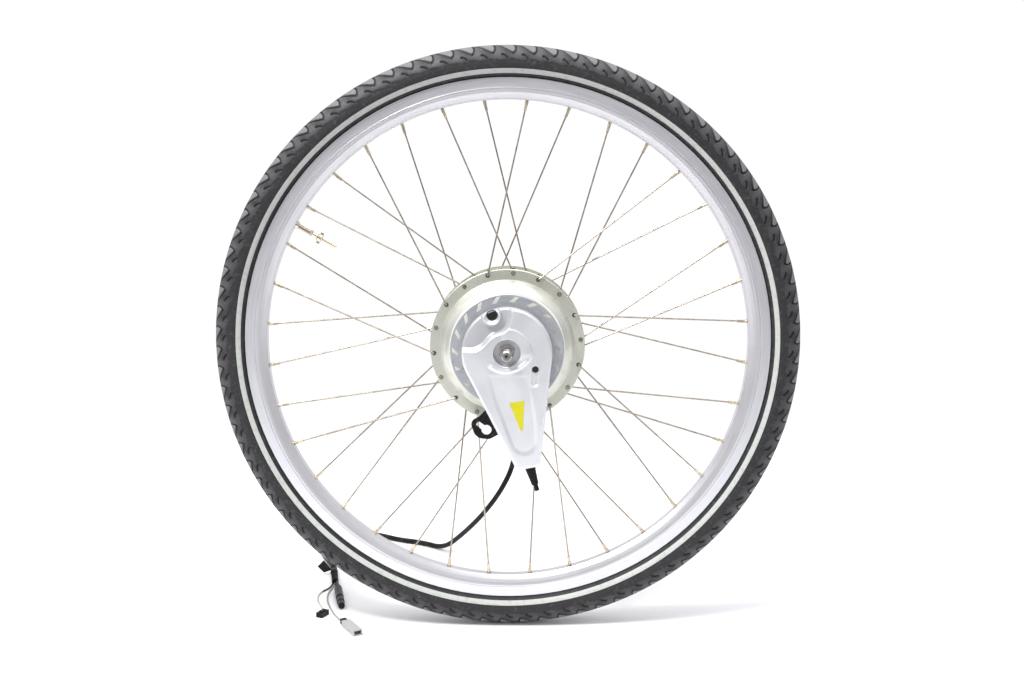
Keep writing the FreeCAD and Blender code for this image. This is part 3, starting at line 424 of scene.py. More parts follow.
def hook_ring(w, s):
    """1 on the hook's ring, and less inside it."""
    return np.hypot((w - HOOK[0]) / HOOK_REACH[0], (s - HOOK[1]) / HOOK_REACH[1])


def grooves(w, s):
    """Depth share of the slanted groove, its hook and the sipe of one repeat."""
    line = 1.0 - smooth_step(np.abs(s - groove_line(w)), 0.85, 1.55)
    line = line * smooth_step(w, -0.02, 0.05) * (1.0 - smooth_step(w, GROOVE_END, GROOVE_END + 0.04))
    hook = 1.0 - smooth_step(np.abs(hook_ring(w, s) - 1.0), 0.13, 0.30)
    hook = hook * smooth_step(w, 0.76, 0.80) * smooth_step(s, 3.6, 5.0)
    along = w - SIPE[0]
    slant = ((s - SIPE[1]) - 14.0 * along - 40.0 * along ** 2) / 1.3
    sipe = 1.0 - smooth_step(np.abs(slant), 0.40, 1.00)
    sipe = 0.9 * sipe * (1.0 - smooth_step(np.abs(along), 0.14, 0.19))
    return np.maximum(np.maximum(line, hook), sipe)


def tread(u, s):
    """Groove depth share and block brightness at pitch count u and distance s (mm) from the crown.

    Each repeat has a slanted groove that ends in a hook, which closes off a drop-shaped block, and a
    short oblique sipe in the shoulder. In the brightness a groove is below nought: painted shade, nearly
    black.
    """
    u = u + 0.5 * (s < 0.0)
    s = np.abs(s) / STRETCH
    v = np.mod(u, 1.0)
    groove = np.zeros(np.broadcast(u, s).shape)
    for shift in (-1.0, 0.0, 1.0):
        groove = np.maximum(groove, grooves(v + shift, s))
    in_drop = (s < groove_line(v)) & (v < GROOVE_END) | (hook_ring(v, s) < 1.0)
    drop = 0.65 + 0.35 * smooth_step(v, 0.1, 0.6)
    wave = np.cos(2.0 * math.pi * (v - 0.05))
    shoulder = 0.24 + 0.14 * wave * (1.0 - 0.7 * smooth_step(s, 16.0, 24.0))
    rib = 0.7 * (1.0 - smooth_step(s, 2.0, 4.0))
    edge = TREAD_EDGE + 0.7 * np.sin(2.0 * math.pi * v)
    inside = 1.0 - smooth_step(s, edge - 0.5, edge + 0.3)
    groove = groove * (1.0 - smooth_step(s, TREAD_EDGE - 1.0, TREAD_EDGE + 0.2))
    bright = np.where(in_drop, drop, np.maximum(shoulder, rib)) * (1.0 - groove) * inside - groove
    step = 0.22 * smooth_step(s, edge - 0.3, edge + 0.7) * (1.0 - smooth_step(s, 25.4, 29.0))
    return np.maximum(groove, step), bright


def tyre_section():
    """Closed outline of the casing as (radius, y) in mm, and how many of its first points are outside."""
    outer_left = three_point_arc((318.0, -10.3), (333.0, -21.5), (348.8, -14.8), 34)
    crown = three_point_arc((348.8, -14.8), (355.0, 0.0), (348.8, 14.8), 36)
    outer_right = [(r, -y) for r, y in outer_left[::-1]]
    out = np.array(outer_left + crown[1:-1] + outer_right)
    # round off the slight crease where the sidewall meets the crown
    for _ in range(3):
        out[1:-1] = (out[:-2] + 2.0 * out[1:-1] + out[2:]) / 4.0
    highest = TYRE_R / MM - 0.02
    out[:, 0] = np.minimum(out[:, 0], highest)
    inside = [(311.4, 10.2), (311.4, 6.8), (317.2, 7.8)]
    inside += three_point_arc((317.2, 7.8), (332.6, 18.4), (345.6, 12.4), 9)[1:]
    inside += [(349.0, 6.5), (350.2, 0.0)]
    inside += [(r, -y) for r, y in inside[::-1]][1:]
    return np.vstack([out, inside]), len(out)


def make_tyre():
    """Casing turned round the axle, with the tread's grooves sunk into it square to its surface."""
    section, count_out = tyre_section()
    out = section[:count_out]
    lengths = np.linalg.norm(np.diff(out, axis=0), axis=1)
    s = np.concatenate([[0.0], np.cumsum(lengths)])
    s -= s[-1] / 2.0
    tangent = np.gradient(out, axis=0)
    normal = np.stack([tangent[:, 1], -tangent[:, 0]], axis=1)
    normal /= np.linalg.norm(normal, axis=1)[:, None]
    around = PITCHES * STEPS
    k = np.arange(around)
    theta = 2.0 * math.pi * k / around
    u = k / STEPS
    depth, bright = tread(u[:, None], s[None, :] + 1e-9)
    sink = depth * GROOVE_DEPTH
    radius = np.repeat(section[None, :, 0], around, 0)
    y = np.repeat(section[None, :, 1], around, 0)
    radius[:, :count_out] -= sink * normal[None, :, 0]
    y[:, :count_out] -= sink * normal[None, :, 1]
    n = len(section)
    co = np.stack([radius * np.sin(theta)[:, None], y, radius * np.cos(theta)[:, None]], axis=2) * MM
    i, j = np.meshgrid(np.arange(around), np.arange(n), indexing="ij")
    i2, j2 = (i + 1) % around, (j + 1) % n
    quads = np.stack([i * n + j, i2 * n + j, i2 * n + j2, i * n + j2], axis=2).reshape(-1, 4)
    mesh = bpy.data.meshes.new("tyre_casing")
    mesh.vertices.add(around * n)
    mesh.vertices.foreach_set("co", co.reshape(-1))
    mesh.loops.add(len(quads) * 4)
    mesh.loops.foreach_set("vertex_index", quads.reshape(-1).astype(np.int32))
    mesh.polygons.add(len(quads))
    mesh.polygons.foreach_set("loop_start", np.arange(0, len(quads) * 4, 4, dtype=np.int32))
    mesh.update()
    mesh.validate()
    mesh.polygons.foreach_set("use_smooth", [True] * len(mesh.polygons))
    # block tone on the tread, and below nought the painted shade of the grooves
    block_tone_and_groove_shade = np.zeros((around, n))
    block_tone_and_groove_shade[:, :count_out] = bright
    keep_values(mesh, "block_tone_and_groove_shade", block_tone_and_groove_shade)
    mesh.materials.append(tyre_rubber())
    tyre = linked("tyre_casing", mesh)
    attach(tyre, "wheel")
    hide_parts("tyre")


def tyre_rubber():
    """Charcoal rubber with a grey reflective stripe on each side, lighter tread blocks, and painted shade
    that makes the grooves nearly black.
    """
    f = Finish("tyre_rubber")
    radius = f.polar()[0]
    block_tone_and_groove_shade = f.attribute("block_tone_and_groove_shade")
    cloud = f.noise(0.014, 5.0)
    fine = f.noise(0.0007, 4.0)
    scuffs = f.ramp(f.noise(0.004, 6.0), 0.50, 0.74)
    rubber = f.mix(cloud, tone(34, 33, 35), tone(52, 51, 53))
    rubber = f.mix(f.math("MULTIPLY", scuffs, 0.25), rubber, tone(104, 100, 98))
    blocks = f.mix(f.ramp(fine, 0.3, 0.7), tone(94, 92, 94), tone(126, 123, 125))
    rubber = f.mix(f.ramp(block_tone_and_groove_shade, 0.0, 1.0, 0.0, 0.95), rubber, blocks)
    # painted shade: the grooves nearly black
    rubber = f.mix(f.ramp(block_tone_and_groove_shade, -0.1, -0.8), rubber, tone(13, 13, 14))
    stripe = f.band(radius, 0.3219, 0.3273, 0.00012)
    grime = f.math("MULTIPLY", f.ramp(f.noise(0.006, 6.0), 0.48, 0.7), 0.35)
    tape = f.mix(grime, tone(178, 181, 177), tone(138, 137, 132))
    base = f.mix(stripe, rubber, tape)
    crease = f.band(radius, 0.3190, 0.3194, 0.0001)
    base = f.mix(f.math("MULTIPLY", crease, 0.5), base, tone(20, 20, 20))
    f.bump(fine, 0.00008, 0.6)
    ribs = f.math("ADD", f.band(radius, 0.3308, 0.3312, 0.0002), f.band(radius, 0.3392, 0.3396, 0.0002))
    f.bump(f.math("ADD", ribs, stripe), 0.00018)
    gloss = f.ramp(f.math("ADD", cloud, f.math("MULTIPLY", stripe, -0.4)), 0.1, 0.8, 0.42, 0.66)
    return f.done(base, gloss, 0.0, Specular_IOR_Level=0.3)


# ---- brake cover -----------------------------------------------------------------------
COVER_R = 53.0                 # mm, as all lengths of the cover
ARM_REACH = 140.5
ARM_ANGLE = math.radians(-10.4)
ARM_HALF_ANGLE = math.radians(16.4)
FACE_Y = -75.0
BACK_Y = -57.0
WINDOW = (-17.6, 43.3)
PORT = (33.2, -18.6)
SLOT_LENGTH = 15.5
RIB_CENTRE = (-1.1, 9.2)       # of the smile-shaped rib's circle
RIB_R = 29.9
ROLL_R = 3.6                   # of the rounded edge round the face
SHEET = 2.2                    # thickness of the shell
MESH_STEP = 0.62               # between points along the outline
# corners of outlines in the face: (x, z, corner radius)
RECESS = [
    (-62.0, 4.5, 0.1), (-33.5, 2.0, 22.0), (-17.5, 21.0, 24.0), (0.5, 27.0, 14.0), (4.9, 42.0, 16.0),
    (4.9, 62.0, 0.1), (-62.0, 62.0, 0.1),
]
SCOOP = [
    (-19.6, -27.7, 0.1), (-12.8, -54.0, 60.0), (10.6, -117.8, 13.0), (32.6, -118.4, 12.0),
    (31.6, -80.0, 100.0), (23.6, -27.7, 0.1),
]


def rounded_loop(corners, step):
    """Points of a closed outline whose corners are rounded."""
    points = []
    count = len(corners)
    for k, (x, z, r) in enumerate(corners):
        corner = np.array([x, z])
        before = np.array(corners[k - 1][:2])
        after = np.array(corners[(k + 1) % count][:2])
        u = (corner - before) / np.linalg.norm(corner - before)
        w = (after - corner) / np.linalg.norm(after - corner)
        turn = math.acos(max(-1.0, min(1.0, float(u @ w))))
        reach = r * math.tan(turn / 2.0)
        first, last = corner - u * reach, corner + w * reach
        inward = (w - u) / np.linalg.norm(w - u)
        centre = corner + inward * (r / math.cos(turn / 2.0))
        pieces = max(2, int(r * turn / step))
        for p in range(pieces + 1):
            share = p / pieces
            offset = (first - centre) * math.sin((1 - share) * turn)
            offset = offset + (last - centre) * math.sin(share * turn)
            points.append(centre + offset / max(math.sin(turn), 1e-9))
    return densified(np.array(points), step)


def densified(points, step):
    """The same closed line with points one step apart."""
    closed = np.vstack([points, points[:1]])
    runs = np.linalg.norm(np.diff(closed, axis=0), axis=1)
    along = np.concatenate([[0.0], np.cumsum(runs)])
    count = int(round(along[-1] / step))
    at = np.linspace(0.0, along[-1], count, endpoint=False)
    return np.stack([np.interp(at, along, closed[:, 0]), np.interp(at, along, closed[:, 1])], axis=1)


def cover_loop(step):
    """The cover's teardrop outline: an arc over the top, straight sides and a blunt tip."""
    h = ARM_HALF_ANGLE
    side = (COVER_R * math.cos(h), -COVER_R * math.sin(h))
    corner = 6.0
    corner_z = -ARM_REACH + corner
    corner_x = side[0] - (side[1] - corner_z) * math.tan(h)
    points = []
    start = math.atan2(side[1], side[0])
    for a in np.linspace(start, math.pi - start, 200):
        points.append((COVER_R * math.cos(a), COVER_R * math.sin(a)))
    points.append((-corner_x, corner_z))
    tip = [(-corner_x * 0.98, corner_z - 1.8), (-corner_x * 0.86, -ARM_REACH + 1.9),
           (-corner_x * 0.62, -ARM_REACH)]
    points += tip + [(-x, z) for x, z in tip[::-1]] + [(corner_x, corner_z)]
    cos, sin = math.cos(ARM_ANGLE), math.sin(ARM_ANGLE)
    turned = [(x * cos + z * sin, -x * sin + z * cos) for x, z in points]
    return densified(np.array(turned), step)


def loop_distance(points, loop):
    """Distance from each point to a closed line, and whether the point is inside it."""
    a, b = loop, np.roll(loop, -1, axis=0)
    best = np.full(len(points), 1e9)
    inside = np.zeros(len(points), bool)
    x, z = points[:, 0], points[:, 1]
    for (ax, az), (bx, bz) in zip(a, b):
        dx, dz = bx - ax, bz - az
        t = np.clip(((x - ax) * dx + (z - az) * dz) / (dx * dx + dz * dz), 0.0, 1.0)
        best = np.minimum(best, np.hypot(x - ax - t * dx, z - az - t * dz))
        if az != bz:
            crosses = (az > z) != (bz > z)
            inside ^= crosses & (x < ax + (z - az) / (bz - az) * dx)
    return best, inside


def signed(points, loop):
    """Distance to the line, above nought inside it."""
    best, inside = loop_distance(points, loop)
    return np.where(inside, best, -best)


def sunk(y, share, depth):
    """The face y, led over by a share to a level that lies a depth behind FACE_Y."""
    return y * (1.0 - share) + (FACE_Y + depth) * share


def cover_relief(points):
    """Front of the cover (y, in mm) and its painted shade, at (x, z) points."""
    x, z = points[:, 0], points[:, 1]
    radius = np.hypot(x, z)
    angle = np.degrees(np.arctan2(x, z))
    y = np.full(len(points), FACE_Y)
    # raised collar round the axle, on the side away from the recess
    collar = (1.0 - smooth_step(radius, 27.5, 30.5)) * smooth_step(radius, 15.0, 17.0)
    collar *= smooth_step(angle, -25.0, 5.0) * (1.0 - smooth_step(angle, 85.0, 125.0))
    y += 1.0 - collar
    y += 0.5 * smooth_step(radius, 30.0, COVER_R) * smooth_step(z, -90.0, -20.0)
    # stepped recess at the upper left, and the boss that stands in it
    recess = smooth_step(signed(points, rounded_loop(RECESS, 1.5)), -2.5, 3.5)
    to_window = np.hypot(x - WINDOW[0], z - WINDOW[1])
    boss = 1.0 - smooth_step(to_window, 9.9, 12.2)
    y = sunk(y, recess, 8.0)
    y = sunk(y, boss, 2.2)
    # long shallow scoop down the arm
    scoop = smooth_step(signed(points, rounded_loop(SCOOP, 1.5)), -4.5, 1.5)
    scoop = scoop * smooth_step(-z, 12.0, 60.0)
    y = sunk(y, scoop, 2.02)
    # smile-shaped rib under the axle
    rib_x, rib_z = x - RIB_CENTRE[0], z - RIB_CENTRE[1]
    rib = np.exp(-((np.hypot(rib_x, rib_z) - RIB_R) / 1.9) ** 2)
    rib_angle = np.degrees(np.arctan2(rib_x, -rib_z))
    rib *= smooth_step(rib_angle, -46.0, -32.0) * (1.0 - smooth_step(rib_angle, 44.0, 62.0))
    y -= 1.7 * rib
    # slot under the grease port, with a low rim, and the port itself
    t = np.clip((PORT[1] - z) / SLOT_LENGTH, 0.0, 1.0)
    to_slot = np.hypot(x - PORT[0] + 0.3 * t, z - PORT[1] + SLOT_LENGTH * t)
    slot = 1.0 - smooth_step(to_slot, 2.8, 4.4)
    y += 0.9 * slot
    y -= 0.3 * np.exp(-((to_slot - 5.0) / 0.8) ** 2)
    to_port = np.hypot(x - PORT[0], z - PORT[1])
    port = 1.0 - smooth_step(to_port, 3.5, 3.9)
    y = sunk(y, port, 2.4)
    # bowl in the boss, with the hole above its middle
    bowl = 1.0 - smooth_step(to_window, 6.4, 9.4)
    y = sunk(y, bowl, 5.0)
    to_hole = np.hypot(x - WINDOW[0] - 0.4, z - WINDOW[1] - 1.0)
    window = 1.0 - smooth_step(to_hole, 6.1, 6.9)
    y = sunk(y, window, 8.5)
    # round recess of the axle's locknut
    axle = 1.0 - smooth_step(radius, 14.9, 16.1)
    y = sunk(y, axle, 12.5)
    # painted shade: black in the window hole and round the grease port, and the recess floor somewhat darker
    painted_shade = np.maximum(np.maximum(window, port), 0.27 * recess * (1.0 - boss))
    return y, painted_shade


def make_cover():
    """Pressed teardrop shell: its face follows the relief, and its edge rolls back into a skirt."""
    loop = cover_loop(MESH_STEP)
    count = len(loop)
    # rings of points from the middle out, closer together at the edge, where the face rolls back
    levels = np.concatenate([np.linspace(0.0, 0.93, 170)[1:], np.linspace(0.93, 1.0, 28)[1:]])
    grid = (levels[:, None, None] * loop[None, :, :]).reshape(-1, 2)
    grid = np.vstack([[[0.0, 0.0]], grid])
    y, painted_shade = cover_relief(grid)
    inset = loop_distance(grid, loop[::2])[0]
    roll = np.clip(ROLL_R - inset, 0.0, ROLL_R)
    y = y + ROLL_R - np.sqrt(np.maximum(ROLL_R ** 2 - roll ** 2, 0.0))
    y = np.minimum(y, BACK_Y - 3.0)
    co = np.stack([grid[:, 0], y, grid[:, 1]], axis=1)
    last = co[1 + (len(levels) - 1) * count:]
    skirt = []
    for share in (0.35, 0.7, 1.0):
        ring = last.copy()
        ring[:, 1] = last[:, 1] * (1.0 - share) + BACK_Y * share
        skirt.append(ring)
    co = np.vstack([co] + skirt)
    painted_shade = np.concatenate([painted_shade, np.zeros(count * len(skirt))])
    faces = [(0, 1 + k, 1 + (k + 1) % count) for k in range(count)]
    for r in range(len(levels) + len(skirt) - 1):
        a = 1 + r * count
        b = a + count
        faces += [(a + k, b + k, b + (k + 1) % count, a + (k + 1) % count) for k in range(count)]
    cover = mesh_object("cover_shell", co * MM, faces, silver_paint())
    # the painted shade is kept on the points for the cover's material
    keep_values(cover.data, "painted_shade", painted_shade)
    shell = cover.modifiers.new("thickness", "SOLIDIFY")
    shell.thickness = SHEET * MM
    shell.offset = -1.0
    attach(cover, "axle_assembly")
    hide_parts("brake_cover")


# ---- looks of the parts that are shown as they are -------------------------------------
def rim_aluminium():
    """Bright machined walls with a fine line, a slightly greyer bed, and marks that run round the rim."""
    f = Finish("rim_aluminium")
    radius = f.polar()[0]
    marks = f.turned_marks(0.0018, 0.15)
    cloud = f.noise(0.05, 3.0)
    wall = f.mix(marks, tone(202, 202, 207), tone(222, 222, 226))
    bed = f.mix(cloud, tone(190, 189, 193), tone(206, 205, 208))
    base = f.mix(f.ramp(radius, 0.2995, 0.3055), bed, wall)
    line = f.band(radius, 0.3058, 0.3064, 0.00012)
    # painted shade: the sunk line darker
    base = f.mix(f.math("MULTIPLY", line, 0.3), base, tone(150, 152, 158))
    smears = f.math("MULTIPLY", f.ramp(f.noise(0.012, 6.0), 0.58, 0.80), 0.12)
    base = f.mix(smears, base, tone(158, 156, 156))
    f.bump(marks, 0.000006)
    f.bump(line, 0.0002, -1.0)
    return f.done(base, f.ramp(marks, 0.2, 0.8, 0.32, 0.40), 0.8)


def threaded_metal(name, colour, roughness, pitch, spans):
    """Plated metal; between the (low, high) y spans it has a screw thread."""
    f = Finish(name)
    _, angle, y = f.polar()
    turn = f.math("MULTIPLY", angle, 1.0 / (2.0 * math.pi))
    wave = f.math("PINGPONG", f.math("ADD", f.math("MULTIPLY", y, 1.0 / pitch), turn), 0.5)
    spread = None
    for low, high in spans:
        share = f.band(y, low, high, 0.0003)
        spread = share if spread is None else f.math("ADD", spread, share)
    marks = f.turned_marks(0.0005)
    base = f.mix(marks, scaled(colour, 0.92), scaled(colour, 1.08))
    # painted shade: the thread's valleys darker
    valley = f.math("MULTIPLY", f.ramp(wave, 0.30, 0.05), spread)
    base = f.mix(f.math("MULTIPLY", valley, 0.5), base, scaled(colour, 0.25))
    f.bump(marks, 0.00001)
    f.bump(f.math("MULTIPLY", f.math("MULTIPLY", wave, 2.0), spread), pitch * 0.4)
    return f.done(base, f.ramp(marks, 0.2, 0.8, roughness - 0.05, roughness + 0.08), 1.0)


def laminations():
    """Stack of thin sheets with dark lines between them."""
    f = Finish("lamination_steel")
    sheet = 0.0005
    sheets = f.math("PINGPONG", f.math("MULTIPLY", f.axes()[1], 1.0 / sheet), 0.5)
    gap = f.ramp(sheets, 0.12, 0.02)
    cloud = f.noise(0.01)
    base = f.mix(cloud, tone(120, 120, 122), tone(150, 149, 148))
    base = f.mix(f.math("MULTIPLY", gap, 0.7), base, tone(50, 42, 38))
    f.bump(gap, 0.00008, -1.0)
    return f.done(base, f.ramp(cloud, 0.3, 0.7, 0.38, 0.5), 0.8)


def enamelled_copper():
    """Coils of enamelled wire, wound in layers."""
    f = Finish("copper_enamel")
    wire = 0.0009
    turns = f.math("PINGPONG", f.math("MULTIPLY", f.polar()[0], 1.0 / wire), 0.5)
    cloud = f.noise(0.004)
    base = f.mix(cloud, tone(150, 76, 34), tone(196, 108, 52))
    base = f.mix(f.ramp(turns, 0.14, 0.0), base, tone(60, 24, 10))
    f.bump(turns, 0.0003)
    return f.done(base, f.ramp(cloud, 0.3, 0.7, 0.22, 0.34), 0.85)


def circuit_board():
    """Green solder mask over copper tracks, with bright pads."""
    f = Finish("circuit_board")
    tracks = f.band(f.cells(0.006, feature="DISTANCE_TO_EDGE"), 0.0, 0.06, 0.02)
    pads = f.ramp(f.cells(0.0032), 0.22, 0.16)
    cloud = f.noise(0.01)
    base = f.mix(cloud, tone(16, 70, 42), tone(24, 88, 54))
    base = f.mix(f.math("MULTIPLY", tracks, 0.6), base, tone(46, 128, 78))
    base = f.mix(pads, base, tone(196, 190, 176))
    f.bump(tracks, 0.00004)
    return f.done(base, f.ramp(pads, 0.0, 1.0, 0.32, 0.25), f.math("MULTIPLY", pads, 0.8))


HOLES = 18                      # spoke holes in each flange
HOLE_CIRCLE_R = 0.0883


def hub_anodised(name, flange, dome, first_hole, painted_light_r):
    """Champagne flange, brighter satin dome, with turning marks and a dark ring round each spoke hole.

    first_hole is the angle of one hole in degrees; inside the radius given last the metal is painted
    near-white and less metallic: painted light that shows through the cooling disc's slots.
    """
    f = Finish(name)
    radius, angle, _ = f.polar()
    marks = f.turned_marks(0.0009, 0.5)
    cloud = f.noise(0.03, 4.0)
    base = f.mix(f.ramp(radius, 0.0785, 0.0835), dome, flange)
    base = f.mix(f.math("MULTIPLY", f.ramp(marks, 0.3, 0.7), 0.10), base, scaled(flange, 0.6))
    soil = f.math("MULTIPLY", f.ramp(f.noise(0.01, 7.0), 0.55, 0.78), 0.25)
    base = f.mix(soil, base, tone(128, 122, 108))
    pitch = 2.0 * math.pi / HOLES
    pitches = f.math("MULTIPLY", f.math("SUBTRACT", angle, math.radians(first_hole)), 1.0 / pitch)
    off = f.math("SUBTRACT", pitches, f.math("ROUND", pitches))
    aside = f.math("MULTIPLY", off, HOLE_CIRCLE_R * pitch)
    above = f.math("SUBTRACT", radius, HOLE_CIRCLE_R)
    squares = f.math("ADD", f.math("MULTIPLY", aside, aside), f.math("MULTIPLY", above, above))
    to_hole = f.math("SQRT", squares)
    base = f.mix(f.ramp(to_hole, 0.0031, 0.0021, 0.0, 0.85), base, tone(52, 48, 42))
    f.bump(marks, 0.000012)
    f.bump(f.noise(0.0006, 2.0), 0.00001)
    uneven = f.math("ADD", f.math("MULTIPLY", cloud, 0.6), f.math("MULTIPLY", marks, 0.4))
    gloss = f.ramp(uneven, 0.3, 0.7, 0.30, 0.42)
    # painted light: near-white and less metallic inside this radius, seen through the cooling disc's slots
    painted_light = f.ramp(radius, painted_light_r + 0.0005, painted_light_r - 0.0005)
    base = f.mix(painted_light, base, tone(250, 248, 238))
    return f.done(base, gloss, f.ramp(painted_light, 0.0, 1.0, 0.82, 0.25))


def ribbed(name, colour, roughness, pitch, axis, depth):
    """Moulded rubber or plastic with ribs one after the other along an axis (x, y, z)."""
    f = Finish(name)
    x, y, z = f.axes()
    along = f.math("ADD", f.math("MULTIPLY", x, axis[0]), f.math("MULTIPLY", y, axis[1]))
    along = f.math("ADD", along, f.math("MULTIPLY", z, axis[2]))
    wave = f.math("PINGPONG", f.math("MULTIPLY", along, 1.0 / pitch), 0.5)
    cloud = f.noise(0.005)
    base = f.mix(cloud, scaled(colour, 0.8), scaled(colour, 1.3))
    # painted shade: darker in the grooves between the ribs
    base = f.mix(f.ramp(wave, 0.16, 0.04), base, scaled(colour, 0.35))
    f.bump(f.ramp(wave, 0.0, 0.35), depth)
    f.bump(f.noise(0.0004), 0.00002)
    gloss = f.ramp(cloud, 0.3, 0.7, roughness - 0.05, roughness + 0.08)
    return f.done(base, gloss, 0.0, Specular_IOR_Level=0.22)


def sticker():
    """Blank yellow sticker, a little rubbed."""
    f = Finish("label_yellow")
    cloud = f.noise(0.006, 5.0)
    base = f.mix(cloud, tone(184, 178, 10), tone(202, 194, 22))
    rubbed = f.math("MULTIPLY", f.ramp(f.noise(0.0014, 6.0), 0.6, 0.75), 0.35)
    base = f.mix(rubbed, base, tone(206, 190, 60))
    f.bump(f.noise(0.002), 0.00003)
    return f.done(base, f.ramp(cloud, 0.3, 0.7, 0.35, 0.5), 0.0)


def silver_paint():
    """Fine metallic silver paint, slightly uneven, with small grey specks; painted shade, down to black,
    where the mesh's shade values say so.
    """
    f = Finish("cover_silver")
    flakes = f.cells(0.00035)
    cloud = f.noise(0.04, 3.0)
    base = f.mix(cloud, tone(204, 205, 209), tone(222, 223, 227))
    base = f.mix(f.math("MULTIPLY", f.ramp(flakes, 0.1, 0.5), 0.08), base, tone(244, 245, 248))
    specks = f.math("MULTIPLY", f.ramp(f.cells(0.0042), 0.10, 0.05), 0.35)
    base = f.mix(specks, base, tone(164, 162, 160))
    # painted shade from the mesh: black in the holes, darker in the recess, and less metallic there
    shade_paint = f.attribute("painted_shade")
    base = f.mix(shade_paint, base, tone(14, 14, 15))
    f.bump(f.noise(0.0022, 2.0), 0.000004, 0.5)
    gloss = f.ramp(cloud, 0.3, 0.7, 0.36, 0.44)
    metal = f.math("MULTIPLY", f.math("SUBTRACT", 1.0, shade_paint), 0.7)
    return f.done(base, gloss, metal, Coat_Weight=0.15, Coat_Roughness=0.3)


def clear_nylon():
    """Milky translucent plastic."""
    f = Finish("clear_plastic")
    cloud = f.noise(0.008, 3.0)
    base = f.mix(cloud, tone(168, 168, 167), tone(188, 188, 187))
    f.bump(f.noise(0.001), 0.00003)
    return f.done(base, f.ramp(cloud, 0.3, 0.7, 0.36, 0.48), 0.0, Transmission_Weight=0.2, IOR=1.45)


REPLACED = ("tyre", "brake_cover", "motor_cable", "signal_wire_1", "signal_wire_2")
BOOT_TILT = math.radians(17.0)  # of the brake cable's boot, from straight down


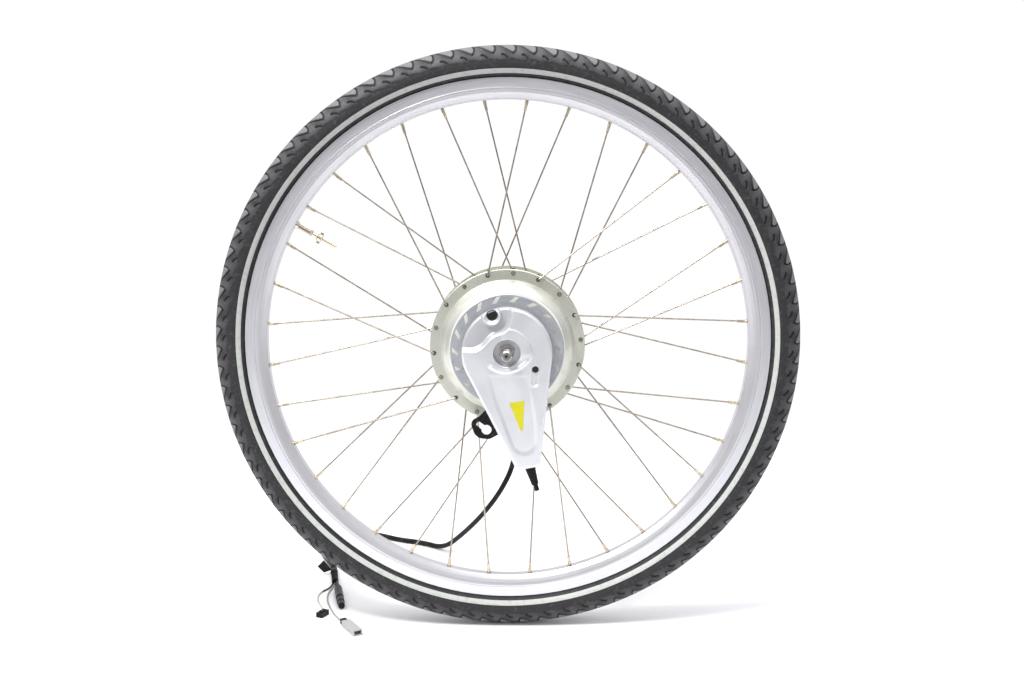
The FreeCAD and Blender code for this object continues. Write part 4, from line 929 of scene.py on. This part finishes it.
def paint_parts():
    """One look for each CAD piece that is shown."""
    zinc = tone(196, 197, 200)
    race = tone(190, 190, 192)
    flange = tone(212, 213, 200)
    dark_dirt = tone(70, 62, 54)
    pale_dirt = tone(110, 108, 106)
    rust = tone(120, 96, 70)
    boot_axis = (math.sin(BOOT_TILT), 0.0, -math.cos(BOOT_TILT))
    looks = {
        "inner_tube": worn("butyl_rubber", tone(34, 34, 36), 0.6, mottle=0.02, dirt=tone(120, 120, 120)),
        "rim_tape": worn("rim_tape", tone(196, 176, 120), 0.75, grain=0.0005, depth=0.00006),
        "rim": rim_aluminium(),
        "valve_stem": threaded_metal("valve_nickel_brass", tone(212, 204, 182), 0.3, 0.0008, [(-1.0, 1.0)]),
        "valve_rim_nut": turned_metal("nut_nickel_brass", tone(212, 204, 184), 0.28),
        "valve_core": turned_metal("core_nickel_brass", tone(214, 204, 176), 0.25),
        "valve_retaining_nut": turned_metal("knurled_nickel_brass", tone(216, 208, 186), 0.3),
        "nipples": worn("nipple_nickel", tone(204, 192, 170), 0.3, 0.8, mottle=0.003, change=0.10,
                        grain=0.0004, dirt=tone(176, 148, 112), dirt_share=0.3),
        # inside 68.5 mm the hub shell is painted near-white: painted light seen through the cooling disc's
        # slots
        "hub_shell": hub_anodised("hub_anodised", flange, tone(226, 226, 218), -15.4, 0.0685),
        "motor_cover": hub_anodised("motor_cover_anodised", flange, tone(214, 214, 206), -5.4, 0.001),
        "motor_cover_screws": turned_metal("screw_zinc", tone(120, 118, 114), 0.35, pitch=0.0003),
        "rotor_ring": turned_metal("rotor_iron", tone(110, 108, 106), 0.42, stain=dark_dirt),
        "magnets": worn("magnet", tone(150, 150, 152), 0.28, 0.9, mottle=0.01, grain=0.0005),
        "stator_core": laminations(),
        "stator_windings": enamelled_copper(),
        "stator_carrier": worn("cast_aluminium", tone(166, 168, 170), 0.5, 0.8, grain=0.0009, depth=0.00008),
        "phase_board": circuit_board(),
        "phase_leads": worn("wire_black", tone(28, 28, 30), 0.45, grain=0.0003),
        "bearing_outer_races": turned_metal("race_steel", race, 0.2, pitch=0.0003),
        "bearing_inner_races": turned_metal("inner_race_steel", race, 0.2, pitch=0.0003),
        "hub_seals": worn("seal_rubber", tone(36, 36, 38), 0.55, grain=0.0005, depth=0.00004),
        "axle": threaded_metal("axle_steel", tone(186, 184, 180), 0.26, 0.00125,
                               [(-0.0925, -0.0600), (0.0600, 0.0690), (0.0845, 0.0935)]),
        "axle_spacers": turned_metal("spacer_zinc", zinc, 0.32),
        "locknuts": turned_metal("locknut_zinc", tone(188, 186, 182), 0.28, stain=dark_dirt),
        "brake_drum": turned_metal("drum_steel", tone(150, 150, 152), 0.36, stain=dark_dirt),
        "brake_drum_clip": turned_metal("clip_steel", tone(120, 118, 116), 0.35),
        "cooling_disc": turned_metal("disc_steel", tone(168, 171, 175), 0.42, pitch=0.0012, change=0.08,
                                     metallic=0.6, stain=tone(110, 112, 116)),
        "roller_guide": turned_metal("guide_steel", tone(160, 160, 162), 0.34),
        "cam_bush": turned_metal("bush_brass", tone(186, 150, 84), 0.3),
        "brake_cam": turned_metal("cam_steel", tone(140, 138, 136), 0.38, stain=dark_dirt),
        "shoe_return_spring": worn("spring_steel", tone(120, 118, 116), 0.3, 1.0, mottle=0.004),
        "grease_plug": worn("plug_rubber", tone(12, 12, 13), 0.5, mottle=0.002, grain=0.0003),
        "cover_label": sticker(),
        "arm_bracket": worn("bracket_black", tone(12, 12, 13), 0.34, mottle=0.008, change=0.25, grain=0.0006,
                            dirt=tone(110, 104, 98), dirt_share=0.2, Specular_IOR_Level=0.25),
        "brake_cable_boot": ribbed("boot_rubber", tone(8, 8, 9), 0.5, 0.0032, boot_axis, 0.0003),
        "brake_cable_tube": worn("tube_black", tone(15, 15, 16), 0.35, mottle=0.004, Specular_IOR_Level=0.25),
        "cable_grommet": ribbed("grommet_rubber", tone(28, 28, 30), 0.5, 0.003, (0.0, 1.0, 0.0), 0.0003),
        "cable_core": worn("core_copper", tone(190, 110, 60), 0.3, 1.0, mottle=0.001, grain=0.0002,
                           depth=0.0001),
        "cable_sleeve": ribbed("sleeve_black", tone(12, 11, 12), 0.5, 0.0019, (-0.178, 0.984, 0.0), 0.0003),
        "power_plug": worn("plug_black", tone(21, 12, 12), 0.4, mottle=0.01, change=0.2,
                           dirt=tone(104, 90, 86), Specular_IOR_Level=0.25),
        "signal_connector": worn("connector_black", tone(12, 11, 11), 0.38, mottle=0.006, change=0.2,
                                 dirt=pale_dirt, dirt_share=0.15, Specular_IOR_Level=0.25),
        "connector_seal": ribbed("seal_black", tone(30, 30, 32), 0.5, 0.0018, (-0.504, 0.864, 0.0), 0.0003),
        "clear_connector": clear_nylon(),
        "tape_flag": worn("tape_black", tone(12, 12, 13), 0.4, mottle=0.004, change=0.2, grain=0.0008,
                          depth=0.00008, dirt=pale_dirt, dirt_share=0.15, Specular_IOR_Level=0.25),
    }
    for side, spoke in (("left", tone(168, 159, 146)), ("right", tone(160, 152, 140))):
        looks[side + "_spokes"] = worn("spoke_steel_" + side, spoke, 0.34, 1.0, mottle=0.01, change=0.18,
                                       grain=0.0006, dirt=rust, dirt_share=0.3)
        looks[side + "_bearing_balls"] = worn("ball_steel_" + side, tone(206, 207, 210), 0.12, 1.0,
                                              mottle=0.004, change=0.05)
    for number in (1, 2, 3):
        looks["brake_shoe_%d" % number] = turned_metal("shoe_steel_%d" % number, tone(128, 126, 122), 0.42,
                                                       stain=dark_dirt)
        looks["brake_rollers_%d" % number] = turned_metal("roller_steel_%d" % number, race, 0.2, pitch=0.0003)
    for node, look in looks.items():
        slots = NODES[node].data.materials
        slots.clear()
        slots.append(look)
    missed = [n for n in NODES if n not in looks and n not in REPLACED]
    if missed:
        raise SystemExit("no look for %s" % missed)


make_camera()
make_stage()
make_light()
make_cords()
make_tyre()
make_cover()
paint_parts()
